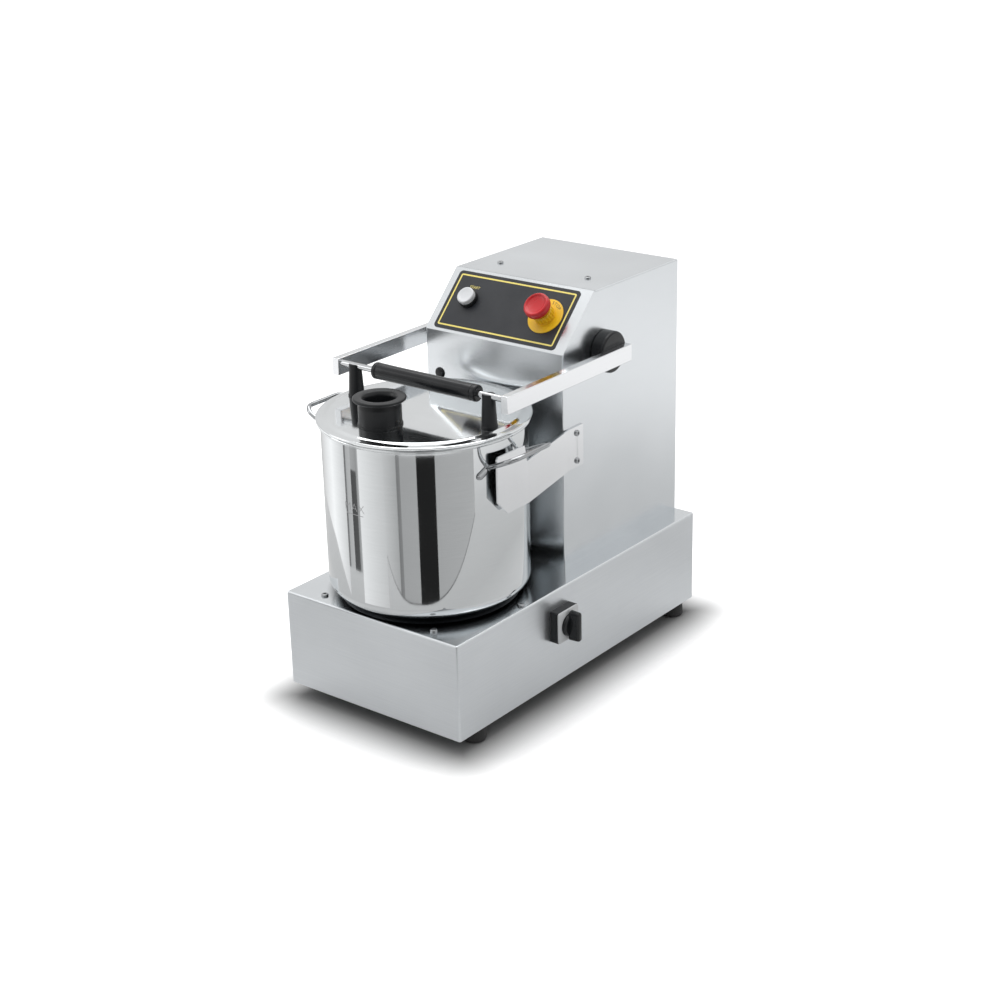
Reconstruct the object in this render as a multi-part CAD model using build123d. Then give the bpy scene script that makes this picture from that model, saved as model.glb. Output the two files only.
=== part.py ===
"""Tabletop bowl cutter: a steel bowl with a turning knife under a hinged lid, on a motor base.

Millimetres. +Z is up, the operator stands on the -Y side, and X = 0 is the centre plane.
The origin is at the middle of the machine's outline, on the worktop.
"""

import math
import os

from build123d import *

# ---------------------------------------------------------------- clearances
RUN_FIT = 0.05  # radial clearance of a shaft in its bearing, bush or bore
AIR = 0.3  # gap between a moving piece and the piece it faces
SLIP = 0.2  # clearance round a screw, collar or body in its hole
THROUGH = 10.0  # how far a cut runs past the face that it opens

# ---------------------------------------------------------------- driving sizes
SHEET = 2.0  # folded stainless sheet
FOLD_R = 3.0  # outside radius of a fold
FOOT_H = 24.0  # underside of the base above the worktop
FOOT_R = 17.0
FOOT_INSET = 19.0  # foot centre from the base's sides
FOOT_FROM_FRONT = 54.0
FOOT_FROM_BACK = 30.0
COVER_T = 1.5  # bottom cover

BASE_W = 316.0
BASE_L = 586.0
BASE_TOP = 169.0  # height of the base's top sheet
BASE_LIP = 16.0  # return flange round the open bottom

BOWL_R = 145.0  # outside radius of the bowl's wall
BOWL_WALL = 1.5
BOWL_CORNER_R = 20.0
BOWL_RIM_Z = 429.0
BOWL_BEAD_R = 2.8  # rolled bead round the bowl's rim
BOWL_FROM_FRONT = 135.0  # bowl axis behind the base's front face
PLINTH_H = 8.0  # pressed step of the base's top that the bowl stands on
PLINTH_TOP_R = 118.0
PLINTH_FOOT_R = 129.0

COLUMN_W = 250.0
COLUMN_FROM_FRONT = 290.0
COLUMN_BACK_INSET = 4.0  # column's back ahead of the base's back
COLUMN_TOP = 571.0
SLOPE_DEPTH = 76.0  # the control panel slopes back at 45 degrees
SLOPE_DROP = 76.0
COLUMN_LIP = 18.0

LID_R = 151.0
LID_T = 1.8
LID_FLAT_R = 133.0
LID_TOP = 436.0
CHUTE_R = 30.0
CHUTE_BORE_R = 21.0
CHUTE_FLANGE_R = 37.0
CHUTE_FLANGE_T = 5.0
CHUTE_TOP = 476.0
CHUTE_DROP = 20.0  # how far the chute reaches below the lid
CHUTE_X = -10.0
CHUTE_FROM_AXIS = 80.0  # in front of the bowl's axis

PIVOT_Z = 479.0
PIVOT_FROM_FRONT = 386.0
PIVOT_SHAFT_R = 6.0
HUB_R = 30.5
ARM_T = 12.0
ARM_H = 25.0
ARM_TOP = 487.0
ARM_OUT_X = 158.0
ARM_FRONT = 122.0  # arm's front end behind the base's front face
ARM_TAIL = 27.0  # arm behind the pivot
HANDLE_ROD_R = 4.5
HANDLE_ROD_Z = 480.0
HANDLE_ROD_FROM_FRONT = 129.0
GRIP_R = 12.0
GRIP_LEFT = -81.0
GRIP_RIGHT = 102.0
POST_X = 120.0
POST_FOOT_R = 12.0
POST_TOP_R = 9.0

SPINDLE_R = 10.0
SPINDLE_TIP_R = 8.0
KNIFE_SWEEP_R = 138.0
KNIFE_T = 3.0
KNIFE_GAP = 36.0  # height between the two knives
LOWER_KNIFE_TURN = 20.0  # the upper knife stands square across the lower one
HUB_TOP_Z = 329.0
PULLEY_R = 50.0  # pulley on the knife spindle
MOTOR_PULLEY_R = 40.0
PULLEY_W = 22.0
PULLEY_Z = 53.0
BELT_T = 4.0
BELT_W = 18.0
MOTOR_R = 74.0
MOTOR_H = 215.0
MOTOR_FROM_FRONT = 425.0

LABEL_W = 220.0
LABEL_H = 98.0
LABEL_X = -3.0  # label's middle beside the centre plane
LABEL_CORNER_R = 6.0
LABEL_T = 0.8
START_X = -73.7
START_UP = 57.8  # start button's centre up the slope from its lower fold
START_TRAVEL = 4.0
ESTOP_X = 68.0
ESTOP_UP = 54.2
ESTOP_TRAVEL = 5.0
SWITCH_FROM_FRONT = 232.0
SWITCH_Z = 117.0
SWITCH_SIDE = 48.0

BRACKET_T = 3.0
GLAND_OUT = 22.0

# ---------------------------------------------------------------- places
FRONT_REACH = LID_R - BOWL_FROM_FRONT
TOTAL_L = FRONT_REACH + BASE_L + GLAND_OUT
BASE_Y0 = FRONT_REACH - TOTAL_L / 2
BASE_Y1 = BASE_Y0 + BASE_L
BOWL_Y = BASE_Y0 + BOWL_FROM_FRONT
BOWL_Z0 = BASE_TOP + PLINTH_H
COLUMN_Y0 = BASE_Y0 + COLUMN_FROM_FRONT
COLUMN_Y1 = BASE_Y1 - COLUMN_BACK_INSET
SLOPE_Z0 = COLUMN_TOP - SLOPE_DROP
PIVOT_Y = BASE_Y0 + PIVOT_FROM_FRONT
ROD_Y = BASE_Y0 + HANDLE_ROD_FROM_FRONT
MOTOR_Y = BASE_Y0 + MOTOR_FROM_FRONT
CHUTE_Y = BOWL_Y - CHUTE_FROM_AXIS
SWITCH_Y = BASE_Y0 + SWITCH_FROM_FRONT
ARM_IN_X = ARM_OUT_X - ARM_T
SLOPE_ANGLE = math.degrees(math.atan2(SLOPE_DROP, SLOPE_DEPTH))


# ---------------------------------------------------------------- small helpers
def block(x, y, z):
    """Box between the low and high ends of each axis, given as pairs."""
    size = [high - low for low, high in (x, y, z)]
    middle = [(high + low) / 2 for low, high in (x, y, z)]
    return Pos(*middle) * Box(*size)


def upright(radius, z0, z1, x=0.0, y=0.0):
    """Cylinder along Z."""
    return Pos(x, y, (z0 + z1) / 2) * Cylinder(radius, z1 - z0)


def crosswise(radius, x0, x1, y, z):
    """Cylinder along X."""
    return Pos((x0 + x1) / 2, y, z) * Rot(0, 90, 0) * Cylinder(radius, x1 - x0)


def turned(points, x=0.0, y=0.0):
    """Solid of revolution about Z from (radius, height) points."""
    outline = make_face(Polyline(*[(r, 0, z) for r, z in points], close=True))
    return Pos(x, y, 0) * revolve(outline, Axis.Z)


def on_slope(x, up, out=0.0):
    """Frame on the control panel: local Z points out of the panel, local Y up the slope."""
    run = up * math.cos(math.radians(SLOPE_ANGLE))
    rise = up * math.sin(math.radians(SLOPE_ANGLE))
    here = Location((x, COLUMN_Y0 + run, SLOPE_Z0 + rise), (SLOPE_ANGLE, 0, 0))
    return here * Pos(0, 0, out)


def side_face(y, z, out=0.0):
    """Frame on the base's right side: local Z points out, local X along +Y, local Y up."""
    plane = Plane(origin=(BASE_W / 2 + out, y, z), x_dir=(0, 1, 0), z_dir=(1, 0, 0))
    return Location(plane)


def ring_of(count, radius, start=0.0):
    """Points spaced evenly on a circle."""
    angles = [math.radians(start + 360 * i / count) for i in range(count)]
    return [(radius * math.cos(a), radius * math.sin(a)) for a in angles]


def pan_screw(shank_r, length, head_r, head_h):
    """Pan-head screw along -Z with its head's seat at Z = 0 and a hexagon socket."""
    head = Pos(0, 0, head_h / 2) * Cylinder(head_r, head_h)
    head = fillet(head.edges().group_by(Axis.Z)[-1], head_h * 0.45)
    socket = Pos(0, 0, head_h * 0.5) * extrude(RegularPolygon(head_r * 0.5, 6), head_h)
    shank = Pos(0, 0, -length / 2) * Cylinder(shank_r, length)
    return head - socket + shank


def group(solids):
    """Separate solids that share one node."""
    return Compound(children=[s.solid() for s in solids])


# ---------------------------------------------------------------- screws
M5_R = 2.5
M5_HEAD_R = 4.6
M5_HEAD_H = 2.6
M6_R = 3.0
M6_HEAD_R = 5.2
M6_HEAD_H = 3.2
M8_R = 4.0
M8_HEAD_R = 7.2
M8_HEAD_H = 5.0

PLATE_T = 8.0  # bearing plate under the base's top
PLATE_TOP = BASE_TOP - SHEET
PLATE_HALF_L = 125.0
PLATE_SIDE_GAP = 2.0  # bearing plate clear of the base's side walls
FRONT_SCREW_X = 101.0
FRONT_SCREW_AHEAD = 115.0  # front screws ahead of the bowl's axis
SIDE_SCREW_EDGE = 10.0  # side screws in from the base's sides
SIDE_SCREW_BEHIND = 19.0
PLATE_SCREWS = [
    (sx * x, y)
    for sx in (-1, 1)
    for x, y in ((FRONT_SCREW_X, -FRONT_SCREW_AHEAD), (BASE_W / 2 - SIDE_SCREW_EDGE, SIDE_SCREW_BEHIND))
]
HOUSING_BOLT_PCD_R = 62.0
PLINTH_HOLE_R = 25.0

FEET = [
    (sx * (BASE_W / 2 - FOOT_INSET), y)
    for sx in (-1, 1)
    for y in (BASE_Y0 + FOOT_FROM_FRONT, BASE_Y1 - FOOT_FROM_BACK)
]


def column_screw_places():
    """Screws through the column's bottom flange into the base's top."""
    inset = SHEET + COLUMN_LIP / 2
    xs = (-COLUMN_W / 2 + inset, COLUMN_W / 2 - inset)
    ys = (COLUMN_Y0 + 3 * COLUMN_LIP, COLUMN_Y1 - 3 * COLUMN_LIP)
    return [(x, y) for x in xs for y in ys]


MOTOR_PLATE_T = 8.0
MOTOR_PLATE_HALF = 92.0
MOTOR_BOLT_R = 82.0
MOTOR_OPENING_R = MOTOR_PULLEY_R + 12.0
GLAND_FROM_SIDE = 53.0
GLAND_X = -BASE_W / 2 + GLAND_FROM_SIDE
GLAND_Z = 71.0
GLAND_THREAD_R = 9.8
GLAND_BORE_R = 5.5
SWITCH_NECK_R = 11.0


# ---------------------------------------------------------------- base
def base_housing():
    """Folded box, open below, with the bowl's pressed plinth in its top."""
    z0 = FOOT_H
    outer = block((-BASE_W / 2, BASE_W / 2), (BASE_Y0, BASE_Y1), (z0, BASE_TOP))
    outer = fillet(outer.edges().filter_by(Axis.Z) + outer.edges().group_by(Axis.Z)[-1], FOLD_R)
    inner = block(
        (-BASE_W / 2 + SHEET, BASE_W / 2 - SHEET),
        (BASE_Y0 + SHEET, BASE_Y1 - SHEET),
        (z0 + SHEET, BASE_TOP - SHEET),
    )
    lip = SHEET + BASE_LIP
    mouth = block(
        (-BASE_W / 2 + lip, BASE_W / 2 - lip),
        (BASE_Y0 + lip, BASE_Y1 - lip),
        (z0 - 1, z0 + SHEET + 1),
    )
    box = outer - inner - mouth
    step = turned(
        [
            (0, BASE_TOP - SHEET),
            (PLINTH_FOOT_R, BASE_TOP - SHEET),
            (PLINTH_FOOT_R, BASE_TOP),
            (PLINTH_TOP_R, BOWL_Z0),
            (0, BOWL_Z0),
        ],
        y=BOWL_Y,
    )
    hollow = turned(
        [
            (0, BASE_TOP - SHEET - 1),
            (PLINTH_FOOT_R - 3 * SHEET, BASE_TOP - SHEET - 1),
            (PLINTH_FOOT_R - 3 * SHEET, BASE_TOP - SHEET),
            (PLINTH_TOP_R - SHEET, BOWL_Z0 - SHEET),
            (0, BOWL_Z0 - SHEET),
        ],
        y=BOWL_Y,
    )
    box = box + step - hollow
    box -= upright(PLINTH_HOLE_R, BASE_TOP - SHEET, BOWL_Z0 + 1, y=BOWL_Y)
    box -= upright(MOTOR_OPENING_R, BASE_TOP - 2 * SHEET, BASE_TOP + 1, y=MOTOR_Y)
    for x, y in PLATE_SCREWS:
        box -= upright(M6_R + SLIP, BASE_TOP - 2 * SHEET, BASE_TOP + 1, x, BOWL_Y + y)
    for x, y in column_screw_places():
        box -= upright(M5_R + SLIP, BASE_TOP - 2 * SHEET, BASE_TOP + 1, x, y)
    for x, y in FEET:
        box -= upright(M6_R + SLIP, z0 - 1, z0 + 2 * SHEET, x, y)
    for x, y in motor_bolt_places():
        box -= upright(M8_R + SLIP, BASE_TOP - 2 * SHEET, BASE_TOP + 1, x, y)
    box -= side_face(SWITCH_Y, SWITCH_Z, -2 * SHEET) * Pos(0, 0, 2 * SHEET) * Cylinder(
        SWITCH_NECK_R + SLIP, 4 * SHEET
    )
    box -= Pos(GLAND_X, BASE_Y1, GLAND_Z) * Rot(90, 0, 0) * Cylinder(GLAND_THREAD_R + SLIP, 4 * SHEET)
    return box


COVER_EDGE = 4.0  # cover's edge in from the base's sides
COVER_CORNER_R = 6.0
VENT_COUNT = 9
VENT_W = 4.0
VENT_L = 70.0
VENT_PITCH = 12.0


def base_bottom_cover():
    """Flat cover screwed under the return flange by the feet."""
    plate = block(
        (-BASE_W / 2 + COVER_EDGE, BASE_W / 2 - COVER_EDGE),
        (BASE_Y0 + COVER_EDGE, BASE_Y1 - COVER_EDGE),
        (FOOT_H - COVER_T, FOOT_H),
    )
    plate = fillet(plate.edges().filter_by(Axis.Z), COVER_CORNER_R)
    for x, y in FEET:
        plate -= upright(M6_R + SLIP, 0, BASE_TOP, x, y)
    for i in range(VENT_COUNT):
        y = MOTOR_Y + VENT_PITCH * (i - (VENT_COUNT - 1) / 2)
        plate -= block((-VENT_L / 2, VENT_L / 2), (y - VENT_W / 2, y + VENT_W / 2), (0, BASE_TOP))
    return plate


FOOT_RECESS = 7.0
FOOT_EDGE = 3.0  # slope round the foot's sole
FOOT_TAPER = 2.0


def rubber_feet():
    """Four tapered rubber feet with a recess for the bolt's head."""
    top = FOOT_H - COVER_T
    feet = []
    for x, y in FEET:
        foot = turned(
            [
                (0, 0),
                (FOOT_R - FOOT_EDGE, 0),
                (FOOT_R, FOOT_EDGE),
                (FOOT_R - FOOT_TAPER, top),
                (0, top),
            ],
            x,
            y,
        )
        foot -= upright(M6_HEAD_R + 1, -1, FOOT_RECESS, x, y)
        foot -= upright(M6_R, -1, FOOT_H, x, y)
        feet.append(foot)
    return group(feet)


FOOT_NUT_H = 5.0
FOOT_BOLT_SPARE = 6.0  # bolt's end past the flange


def foot_bolts():
    """One bolt up through each foot, the cover and the flange, with its nut inside."""
    bolts = []
    for x, y in FEET:
        reach = FOOT_H + SHEET - FOOT_RECESS + FOOT_BOLT_SPARE
        screw = Pos(x, y, FOOT_RECESS) * Rot(180, 0, 0) * pan_screw(M6_R, reach, M6_HEAD_R, M6_HEAD_H)
        nut = Pos(x, y, FOOT_H + SHEET) * extrude(RegularPolygon(M6_HEAD_R, 6), FOOT_NUT_H)
        bolts.append(screw + nut)
    return group(bolts)


# ---------------------------------------------------------------- spindle and its bearings
COLLAR_R = PLINTH_HOLE_R - SLIP
SPIGOT_R = 19.5
SPIGOT_TOP = BOWL_Z0 + 20.0
BEARING_R = 23.5
BEARING_W = 14.0
HOUSING_R = 34.0
HOUSING_FLANGE_R = 74.0
HOUSING_FLANGE_T = 10.0
HOUSING_TOP = PLATE_TOP - PLATE_T
HOUSING_BOTTOM = PULLEY_Z + PULLEY_W + 10.0
SEAL_R = 15.0
SEAL_W = 7.0
SHAFT_BORE_R = SPINDLE_R + 1.5
BOWL_TUBE_R = 22.0
BOWL_TUBE_WALL = 2.0
TUBE_BELOW_HUB = 26.0


def bearing_plate():
    """Thick plate under the base's top that carries the spindle."""
    edge = BASE_W / 2 - SHEET - PLATE_SIDE_GAP
    along = (BOWL_Y - PLATE_HALF_L, BOWL_Y + PLATE_HALF_L)
    plate = block((-edge, edge), along, (PLATE_TOP - PLATE_T, PLATE_TOP))
    plate -= upright(COLLAR_R + SLIP, 0, BASE_TOP, y=BOWL_Y)
    for x, y in PLATE_SCREWS:
        plate -= upright(M6_R + SLIP / 2, 0, BASE_TOP, x, BOWL_Y + y)
    for x, y in ring_of(4, HOUSING_BOLT_PCD_R, 45):
        plate -= upright(M8_R + SLIP / 2, 0, BASE_TOP, x, BOWL_Y + y)
    return plate


def bearing_plate_screws():
    """Screws that show round the bowl and hold the bearing plate."""
    reach = SHEET + PLATE_T
    screw = pan_screw(M6_R, reach, M6_HEAD_R, M6_HEAD_H)
    return group([Pos(x, BOWL_Y + y, BASE_TOP) * screw for x, y in PLATE_SCREWS])


def bearing_housing():
    """Cast flange, bearing barrel with cooling ribs, and the spigot that centres the bowl."""
    low = HOUSING_BOTTOM
    body = turned(
        [
            (0, low),
            (HOUSING_R - 4, low),
            (HOUSING_R, low + 6),
            (HOUSING_R + 6, HOUSING_TOP - HOUSING_FLANGE_T),
            (HOUSING_FLANGE_R, HOUSING_TOP - HOUSING_FLANGE_T),
            (HOUSING_FLANGE_R, HOUSING_TOP),
            (COLLAR_R, HOUSING_TOP),
            (COLLAR_R, BOWL_Z0 - SLIP),
            (SPIGOT_R, BOWL_Z0 - SLIP),
            (SPIGOT_R, SPIGOT_TOP - 3),
            (SPIGOT_R - 2, SPIGOT_TOP),
            (0, SPIGOT_TOP),
        ]
    )
    rib_t = 5.0
    for angle in range(0, 360, 90):
        rib = make_face(
            Polyline(
                (HOUSING_R - 2, 0, low + 14),
                (HOUSING_FLANGE_R - 6, 0, HOUSING_TOP - HOUSING_FLANGE_T),
                (HOUSING_R - 2, 0, HOUSING_TOP - HOUSING_FLANGE_T),
                close=True,
            )
        )
        body += Rot(0, 0, angle) * extrude(rib, rib_t / 2, both=True)
    body -= upright(SHAFT_BORE_R, 0, SPIGOT_TOP + 1)
    body -= upright(BEARING_R, low - 1, low + BEARING_W)
    body -= upright(BEARING_R, HOUSING_TOP - 6 - BEARING_W, HOUSING_TOP - 6)
    body -= upright(SEAL_R, SPIGOT_TOP - SEAL_W, SPIGOT_TOP + 1)
    for x, y in ring_of(4, HOUSING_BOLT_PCD_R, 45):
        body -= upright(M8_R + SLIP, 0, HOUSING_TOP + 1, x, y)
    return Pos(0, BOWL_Y, 0) * body


def bearing(z0, shaft_r):
    """Ball bearing: two races joined by their shield."""
    race = 3.5
    width = BEARING_W
    ring = upright(BEARING_R, z0, z0 + width) - upright(shaft_r + RUN_FIT, z0 - 1, z0 + width + 1)
    dish = upright(BEARING_R - race, z0 + width - 1, z0 + width + 1)
    dish -= upright(shaft_r + race, z0 + width - 2, z0 + width + 2)
    return Pos(0, BOWL_Y, 0) * (ring - dish)


def spindle_bearings():
    """Lower and upper ball bearings of the knife spindle."""
    low = bearing(HOUSING_BOTTOM, SPINDLE_R)
    high = bearing(HOUSING_TOP - 6 - BEARING_W, SPINDLE_R)
    return group([low, high])


def shaft_seal():
    """Rubber lip seal in the top of the spigot."""
    z0 = SPIGOT_TOP - SEAL_W
    inner = SPINDLE_R + RUN_FIT
    seal = turned(
        [
            (inner, z0 + 2),
            (inner + 2, z0),
            (SEAL_R, z0),
            (SEAL_R, SPIGOT_TOP),
            (inner + 1.5, SPIGOT_TOP),
            (inner, SPIGOT_TOP - 2),
        ],
        y=BOWL_Y,
    )
    return seal


def hex_bolts():
    """Hexagon bolts of the bearing housing and of the motor."""
    head = extrude(RegularPolygon(M8_HEAD_R, 6), M8_HEAD_H)
    head = chamfer(head.edges().group_by(Axis.Z)[-1], 0.8)
    bolts = []
    long = HOUSING_FLANGE_T + PLATE_T
    housing_bolt = Rot(180, 0, 0) * head + upright(M8_R, 0, long)
    for x, y in ring_of(4, HOUSING_BOLT_PCD_R, 45):
        bolts.append(Pos(x, BOWL_Y + y, HOUSING_TOP - HOUSING_FLANGE_T) * housing_bolt)
    down = MOTOR_FOOT_T + MOTOR_PLATE_T + SHEET
    motor_bolt = head + upright(M8_R, -down, 0)
    for x, y in motor_bolt_places():
        bolts.append(Pos(x, y, BASE_TOP + MOTOR_PLATE_T + MOTOR_FOOT_T) * motor_bolt)
    return group(bolts)


# ---------------------------------------------------------------- drive
MOTOR_FOOT_T = 10.0
MOTOR_SHAFT_R = 12.0
MOTOR_SHAFT_IN = 38.0  # shaft inside the motor's body
MOTOR_BOLT_EDGE = 10.0
MOTOR_RIBS = 20
MOTOR_RIB_H = 7.0
MOTOR_RIB_T = 2.4
RIB_FROM = 18.0
COWL_H = 45.0
COWL_EDGE = 8.0
TERMINAL_W = 68.0
TERMINAL_H = 60.0
TERMINAL_OUT = 26.0
TERMINAL_FROM = 70.0


def motor_bolt_places():
    """Four bolts on the motor's flange."""
    return [(x, MOTOR_Y + y) for x, y in ring_of(4, MOTOR_BOLT_R, 45)]


def motor_plate():
    """Plate that spreads the motor's weight over the base's top."""
    half = MOTOR_PLATE_HALF
    z0 = BASE_TOP
    plate = block((-half, half), (MOTOR_Y - half, MOTOR_Y + half), (z0, z0 + MOTOR_PLATE_T))
    plate = fillet(plate.edges().filter_by(Axis.Z), 8.0)
    plate -= upright(MOTOR_OPENING_R, z0 - THROUGH, z0 + 2 * THROUGH, y=MOTOR_Y)
    for x, y in motor_bolt_places():
        plate -= upright(M8_R + SLIP, z0 - THROUGH, z0 + 2 * THROUGH, x, y)
    return plate


def motor():
    """Upright flange motor with cooling ribs and a fan cowl."""
    z0 = BASE_TOP + MOTOR_PLATE_T
    z1 = z0 + MOTOR_H
    core_r = MOTOR_R - MOTOR_RIB_H
    cowl_z = z1 - COWL_H
    cowl_r = MOTOR_R + 1
    body = upright(MOTOR_BOLT_R + MOTOR_BOLT_EDGE, z0, z0 + MOTOR_FOOT_T)
    body += upright(core_r, z0, cowl_z)
    rib = block((core_r - 2, MOTOR_R), (-MOTOR_RIB_T / 2, MOTOR_RIB_T / 2), (z0 + RIB_FROM, cowl_z - 5))
    for i in range(MOTOR_RIBS):
        body += Rot(0, 0, 360 * i / MOTOR_RIBS) * rib
    cowl_edge = z1 - COWL_EDGE
    body += turned([(0, cowl_z), (cowl_r, cowl_z), (cowl_r, cowl_edge), (MOTOR_R - COWL_EDGE, z1), (0, z1)])
    box_z = z0 + TERMINAL_FROM
    body += block(
        (-TERMINAL_W / 2, TERMINAL_W / 2), (core_r - 6, MOTOR_R + TERMINAL_OUT), (box_z, box_z + TERMINAL_H)
    )
    body -= upright(MOTOR_SHAFT_R + RUN_FIT, z0 - 1, z0 + MOTOR_SHAFT_IN + 2)
    for x, y in ring_of(4, MOTOR_BOLT_R, 45):
        body -= upright(M8_R + SLIP, z0 - 1, z0 + MOTOR_FOOT_T + 1, x, y)
        body -= upright(M8_HEAD_R + 1, z0 + MOTOR_FOOT_T, z0 + MOTOR_FOOT_T + 12, x, y)
    return Pos(0, MOTOR_Y, 0) * body


WASHER_T = 3.0
WASHER_OUT = 5.0
PULLEY_EDGE = 2.0
PULLEY_RIBS = 4
PULLEY_RIB_H = 2.4
PULLEY_RIM = 9.0
PULLEY_HUB_WALL = 8.0
POCKET_H = 6.0


def ribbed_pulley(radius, bore_r, y):
    """Pulley with V grooves for a ribbed belt, a web and a hub."""
    z0 = PULLEY_Z
    z1 = z0 + PULLEY_W
    pitch = (PULLEY_W - 2 * PULLEY_EDGE) / PULLEY_RIBS
    points = [(bore_r, z0), (radius, z0), (radius, z0 + PULLEY_EDGE)]
    for i in range(PULLEY_RIBS):
        base = z0 + PULLEY_EDGE + i * pitch
        points.append((radius - PULLEY_RIB_H, base + pitch / 2))
        points.append((radius, base + pitch))
    points += [(radius, z1), (bore_r, z1)]
    wheel = turned(points)
    hub_r = bore_r + PULLEY_HUB_WALL
    for low, high in ((z0 - 1, z0 + POCKET_H), (z1 - POCKET_H, z1 + 1)):
        wheel -= upright(radius - PULLEY_RIM, low, high) - upright(hub_r, low, high)
    return Pos(0, y, 0) * wheel


def motor_shaft():
    """Motor's shaft end, with its retaining washer below the pulley."""
    top = BASE_TOP + MOTOR_PLATE_T + MOTOR_SHAFT_IN
    low = PULLEY_Z - WASHER_T
    shaft = upright(MOTOR_SHAFT_R, low, top)
    shaft += upright(MOTOR_SHAFT_R + WASHER_OUT, low, PULLEY_Z)
    return Pos(0, MOTOR_Y, 0) * shaft


def drive_belt():
    """Ribbed belt in one loop round both pulleys."""
    z0 = PULLEY_Z + (PULLEY_W - BELT_W) / 2

    def loop(extra):
        """Outline round the two pulleys, from their tangent lines."""
        big = PULLEY_R + extra
        small = MOTOR_PULLEY_R + extra
        span = MOTOR_Y - BOWL_Y
        lean = math.asin((big - small) / span)
        c = math.cos(lean)
        s = math.sin(lean)
        a = (big * c, BOWL_Y + big * s)
        b = (small * c, MOTOR_Y + small * s)
        right = Line(a, b)
        far = ThreePointArc(b, (0, MOTOR_Y + small), (-b[0], b[1]))
        left = Line((-b[0], b[1]), (-a[0], a[1]))
        near = ThreePointArc((-a[0], a[1]), (0, BOWL_Y - big), a)
        return make_face(Curve() + [right, far, left, near])

    band = loop(AIR + BELT_T) - loop(AIR)
    return Pos(0, 0, z0) * extrude(band, BELT_W)


# ---------------------------------------------------------------- bowl
def bowl():
    """Deep-drawn bowl with a rounded floor corner and a rolled bead at the rim."""
    z0 = BOWL_Z0
    straight = BOWL_RIM_Z - BOWL_BEAD_R
    outer = upright(BOWL_R, z0, straight)
    outer = fillet(outer.edges().group_by(Axis.Z)[0], BOWL_CORNER_R)
    inner = upright(BOWL_R - BOWL_WALL, z0 + BOWL_WALL, straight + 2 * THROUGH)
    inner = fillet(inner.edges().group_by(Axis.Z)[0], BOWL_CORNER_R - BOWL_WALL)
    bead_at = BOWL_R + BOWL_BEAD_R - BOWL_WALL
    bead = Pos(0, 0, straight) * Torus(bead_at, BOWL_BEAD_R)
    wall = outer - inner + bead
    wall -= upright(BOWL_TUBE_R, z0 - 1, z0 + 2 * BOWL_WALL)
    return Pos(0, BOWL_Y, 0) * wall


def bowl_centre_tube():
    """Tube welded through the bowl's floor, round the spindle."""
    z1 = HUB_TOP_Z - TUBE_BELOW_HUB
    tube = upright(BOWL_TUBE_R, BOWL_Z0, z1)
    tube = chamfer(tube.edges().group_by(Axis.Z)[-1], 1.0)
    tube -= upright(BOWL_TUBE_R - BOWL_TUBE_WALL, BOWL_Z0 - 1, z1 + 1)
    return Pos(0, BOWL_Y, 0) * tube


HANDLE_WIRE_R = 3.5
HANDLE_HALF = 37.0  # half the distance between the points where the wire leaves the wall
HANDLE_BELLY = 43.0  # half the loop's greatest width
HANDLE_BELLY_OUT = 20.0  # where that width is reached, out from the wall
HANDLE_REACH = 50.5
HANDLE_BELOW_RIM = 38.0
HANDLE_FOOT_Z = BOWL_RIM_Z - HANDLE_BELOW_RIM
HANDLE_RISE = 23.0
HANDLE_BEND_R = 18.0
PADDLE_L = 27.0  # flattened end of the wire, spot welded to the wall
PADDLE_W = 10.0
PADDLE_T = 2.6
PADDLE_FALL = 35.0  # degrees below level


def handle_loop():
    """Wire along a rounded loop that rises away from the wall."""
    touch = math.sqrt(BOWL_R**2 - HANDLE_HALF**2)
    plan = [
        (touch + HANDLE_WIRE_R, HANDLE_HALF),
        (touch + HANDLE_BELLY_OUT, HANDLE_BELLY),
        (touch + HANDLE_REACH, HANDLE_BELLY),
    ]
    plan = [(x, -y) for x, y in plan] + plan[::-1]
    slope = HANDLE_RISE / HANDLE_REACH
    lifted = [(x, y, HANDLE_FOOT_Z + slope * (x - touch)) for x, y in plan]
    path = FilletPolyline(*lifted, radius=HANDLE_BEND_R)
    return sweep(Plane(origin=path @ 0, z_dir=path % 0) * Circle(HANDLE_WIRE_R), path)


def handle_paddle(sy):
    """Flattened end that runs on along the wall and downwards; sy is the side of the loop."""
    shell = upright(BOWL_R + PADDLE_T, HANDLE_FOOT_Z - PADDLE_L, HANDLE_FOOT_Z + PADDLE_L)
    slot = extrude(SlotOverall(PADDLE_L, PADDLE_W), 2 * BOWL_R)
    middle = (PADDLE_L - PADDLE_W) / 2
    slot = Rot(0, 0, -PADDLE_FALL) * Pos(middle, 0, 0) * slot
    facing = Plane(origin=(0, sy * HANDLE_HALF, HANDLE_FOOT_Z), x_dir=(0, sy, 0), z_dir=(sy, 0, 0))
    slot = Location(facing) * (slot if sy > 0 else Pos(0, 0, -2 * BOWL_R) * slot)
    return shell & slot


def bowl_handle(side):
    """Round-wire loop with flattened ends against the bowl's wall."""
    handle = handle_loop() + handle_paddle(1) + handle_paddle(-1)
    handle -= upright(BOWL_R, HANDLE_FOOT_Z - 2 * PADDLE_L, HANDLE_FOOT_Z + 2 * PADDLE_L)
    turn = 0 if side > 0 else 180
    return Pos(0, BOWL_Y, 0) * Rot(0, 0, turn) * handle


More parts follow.
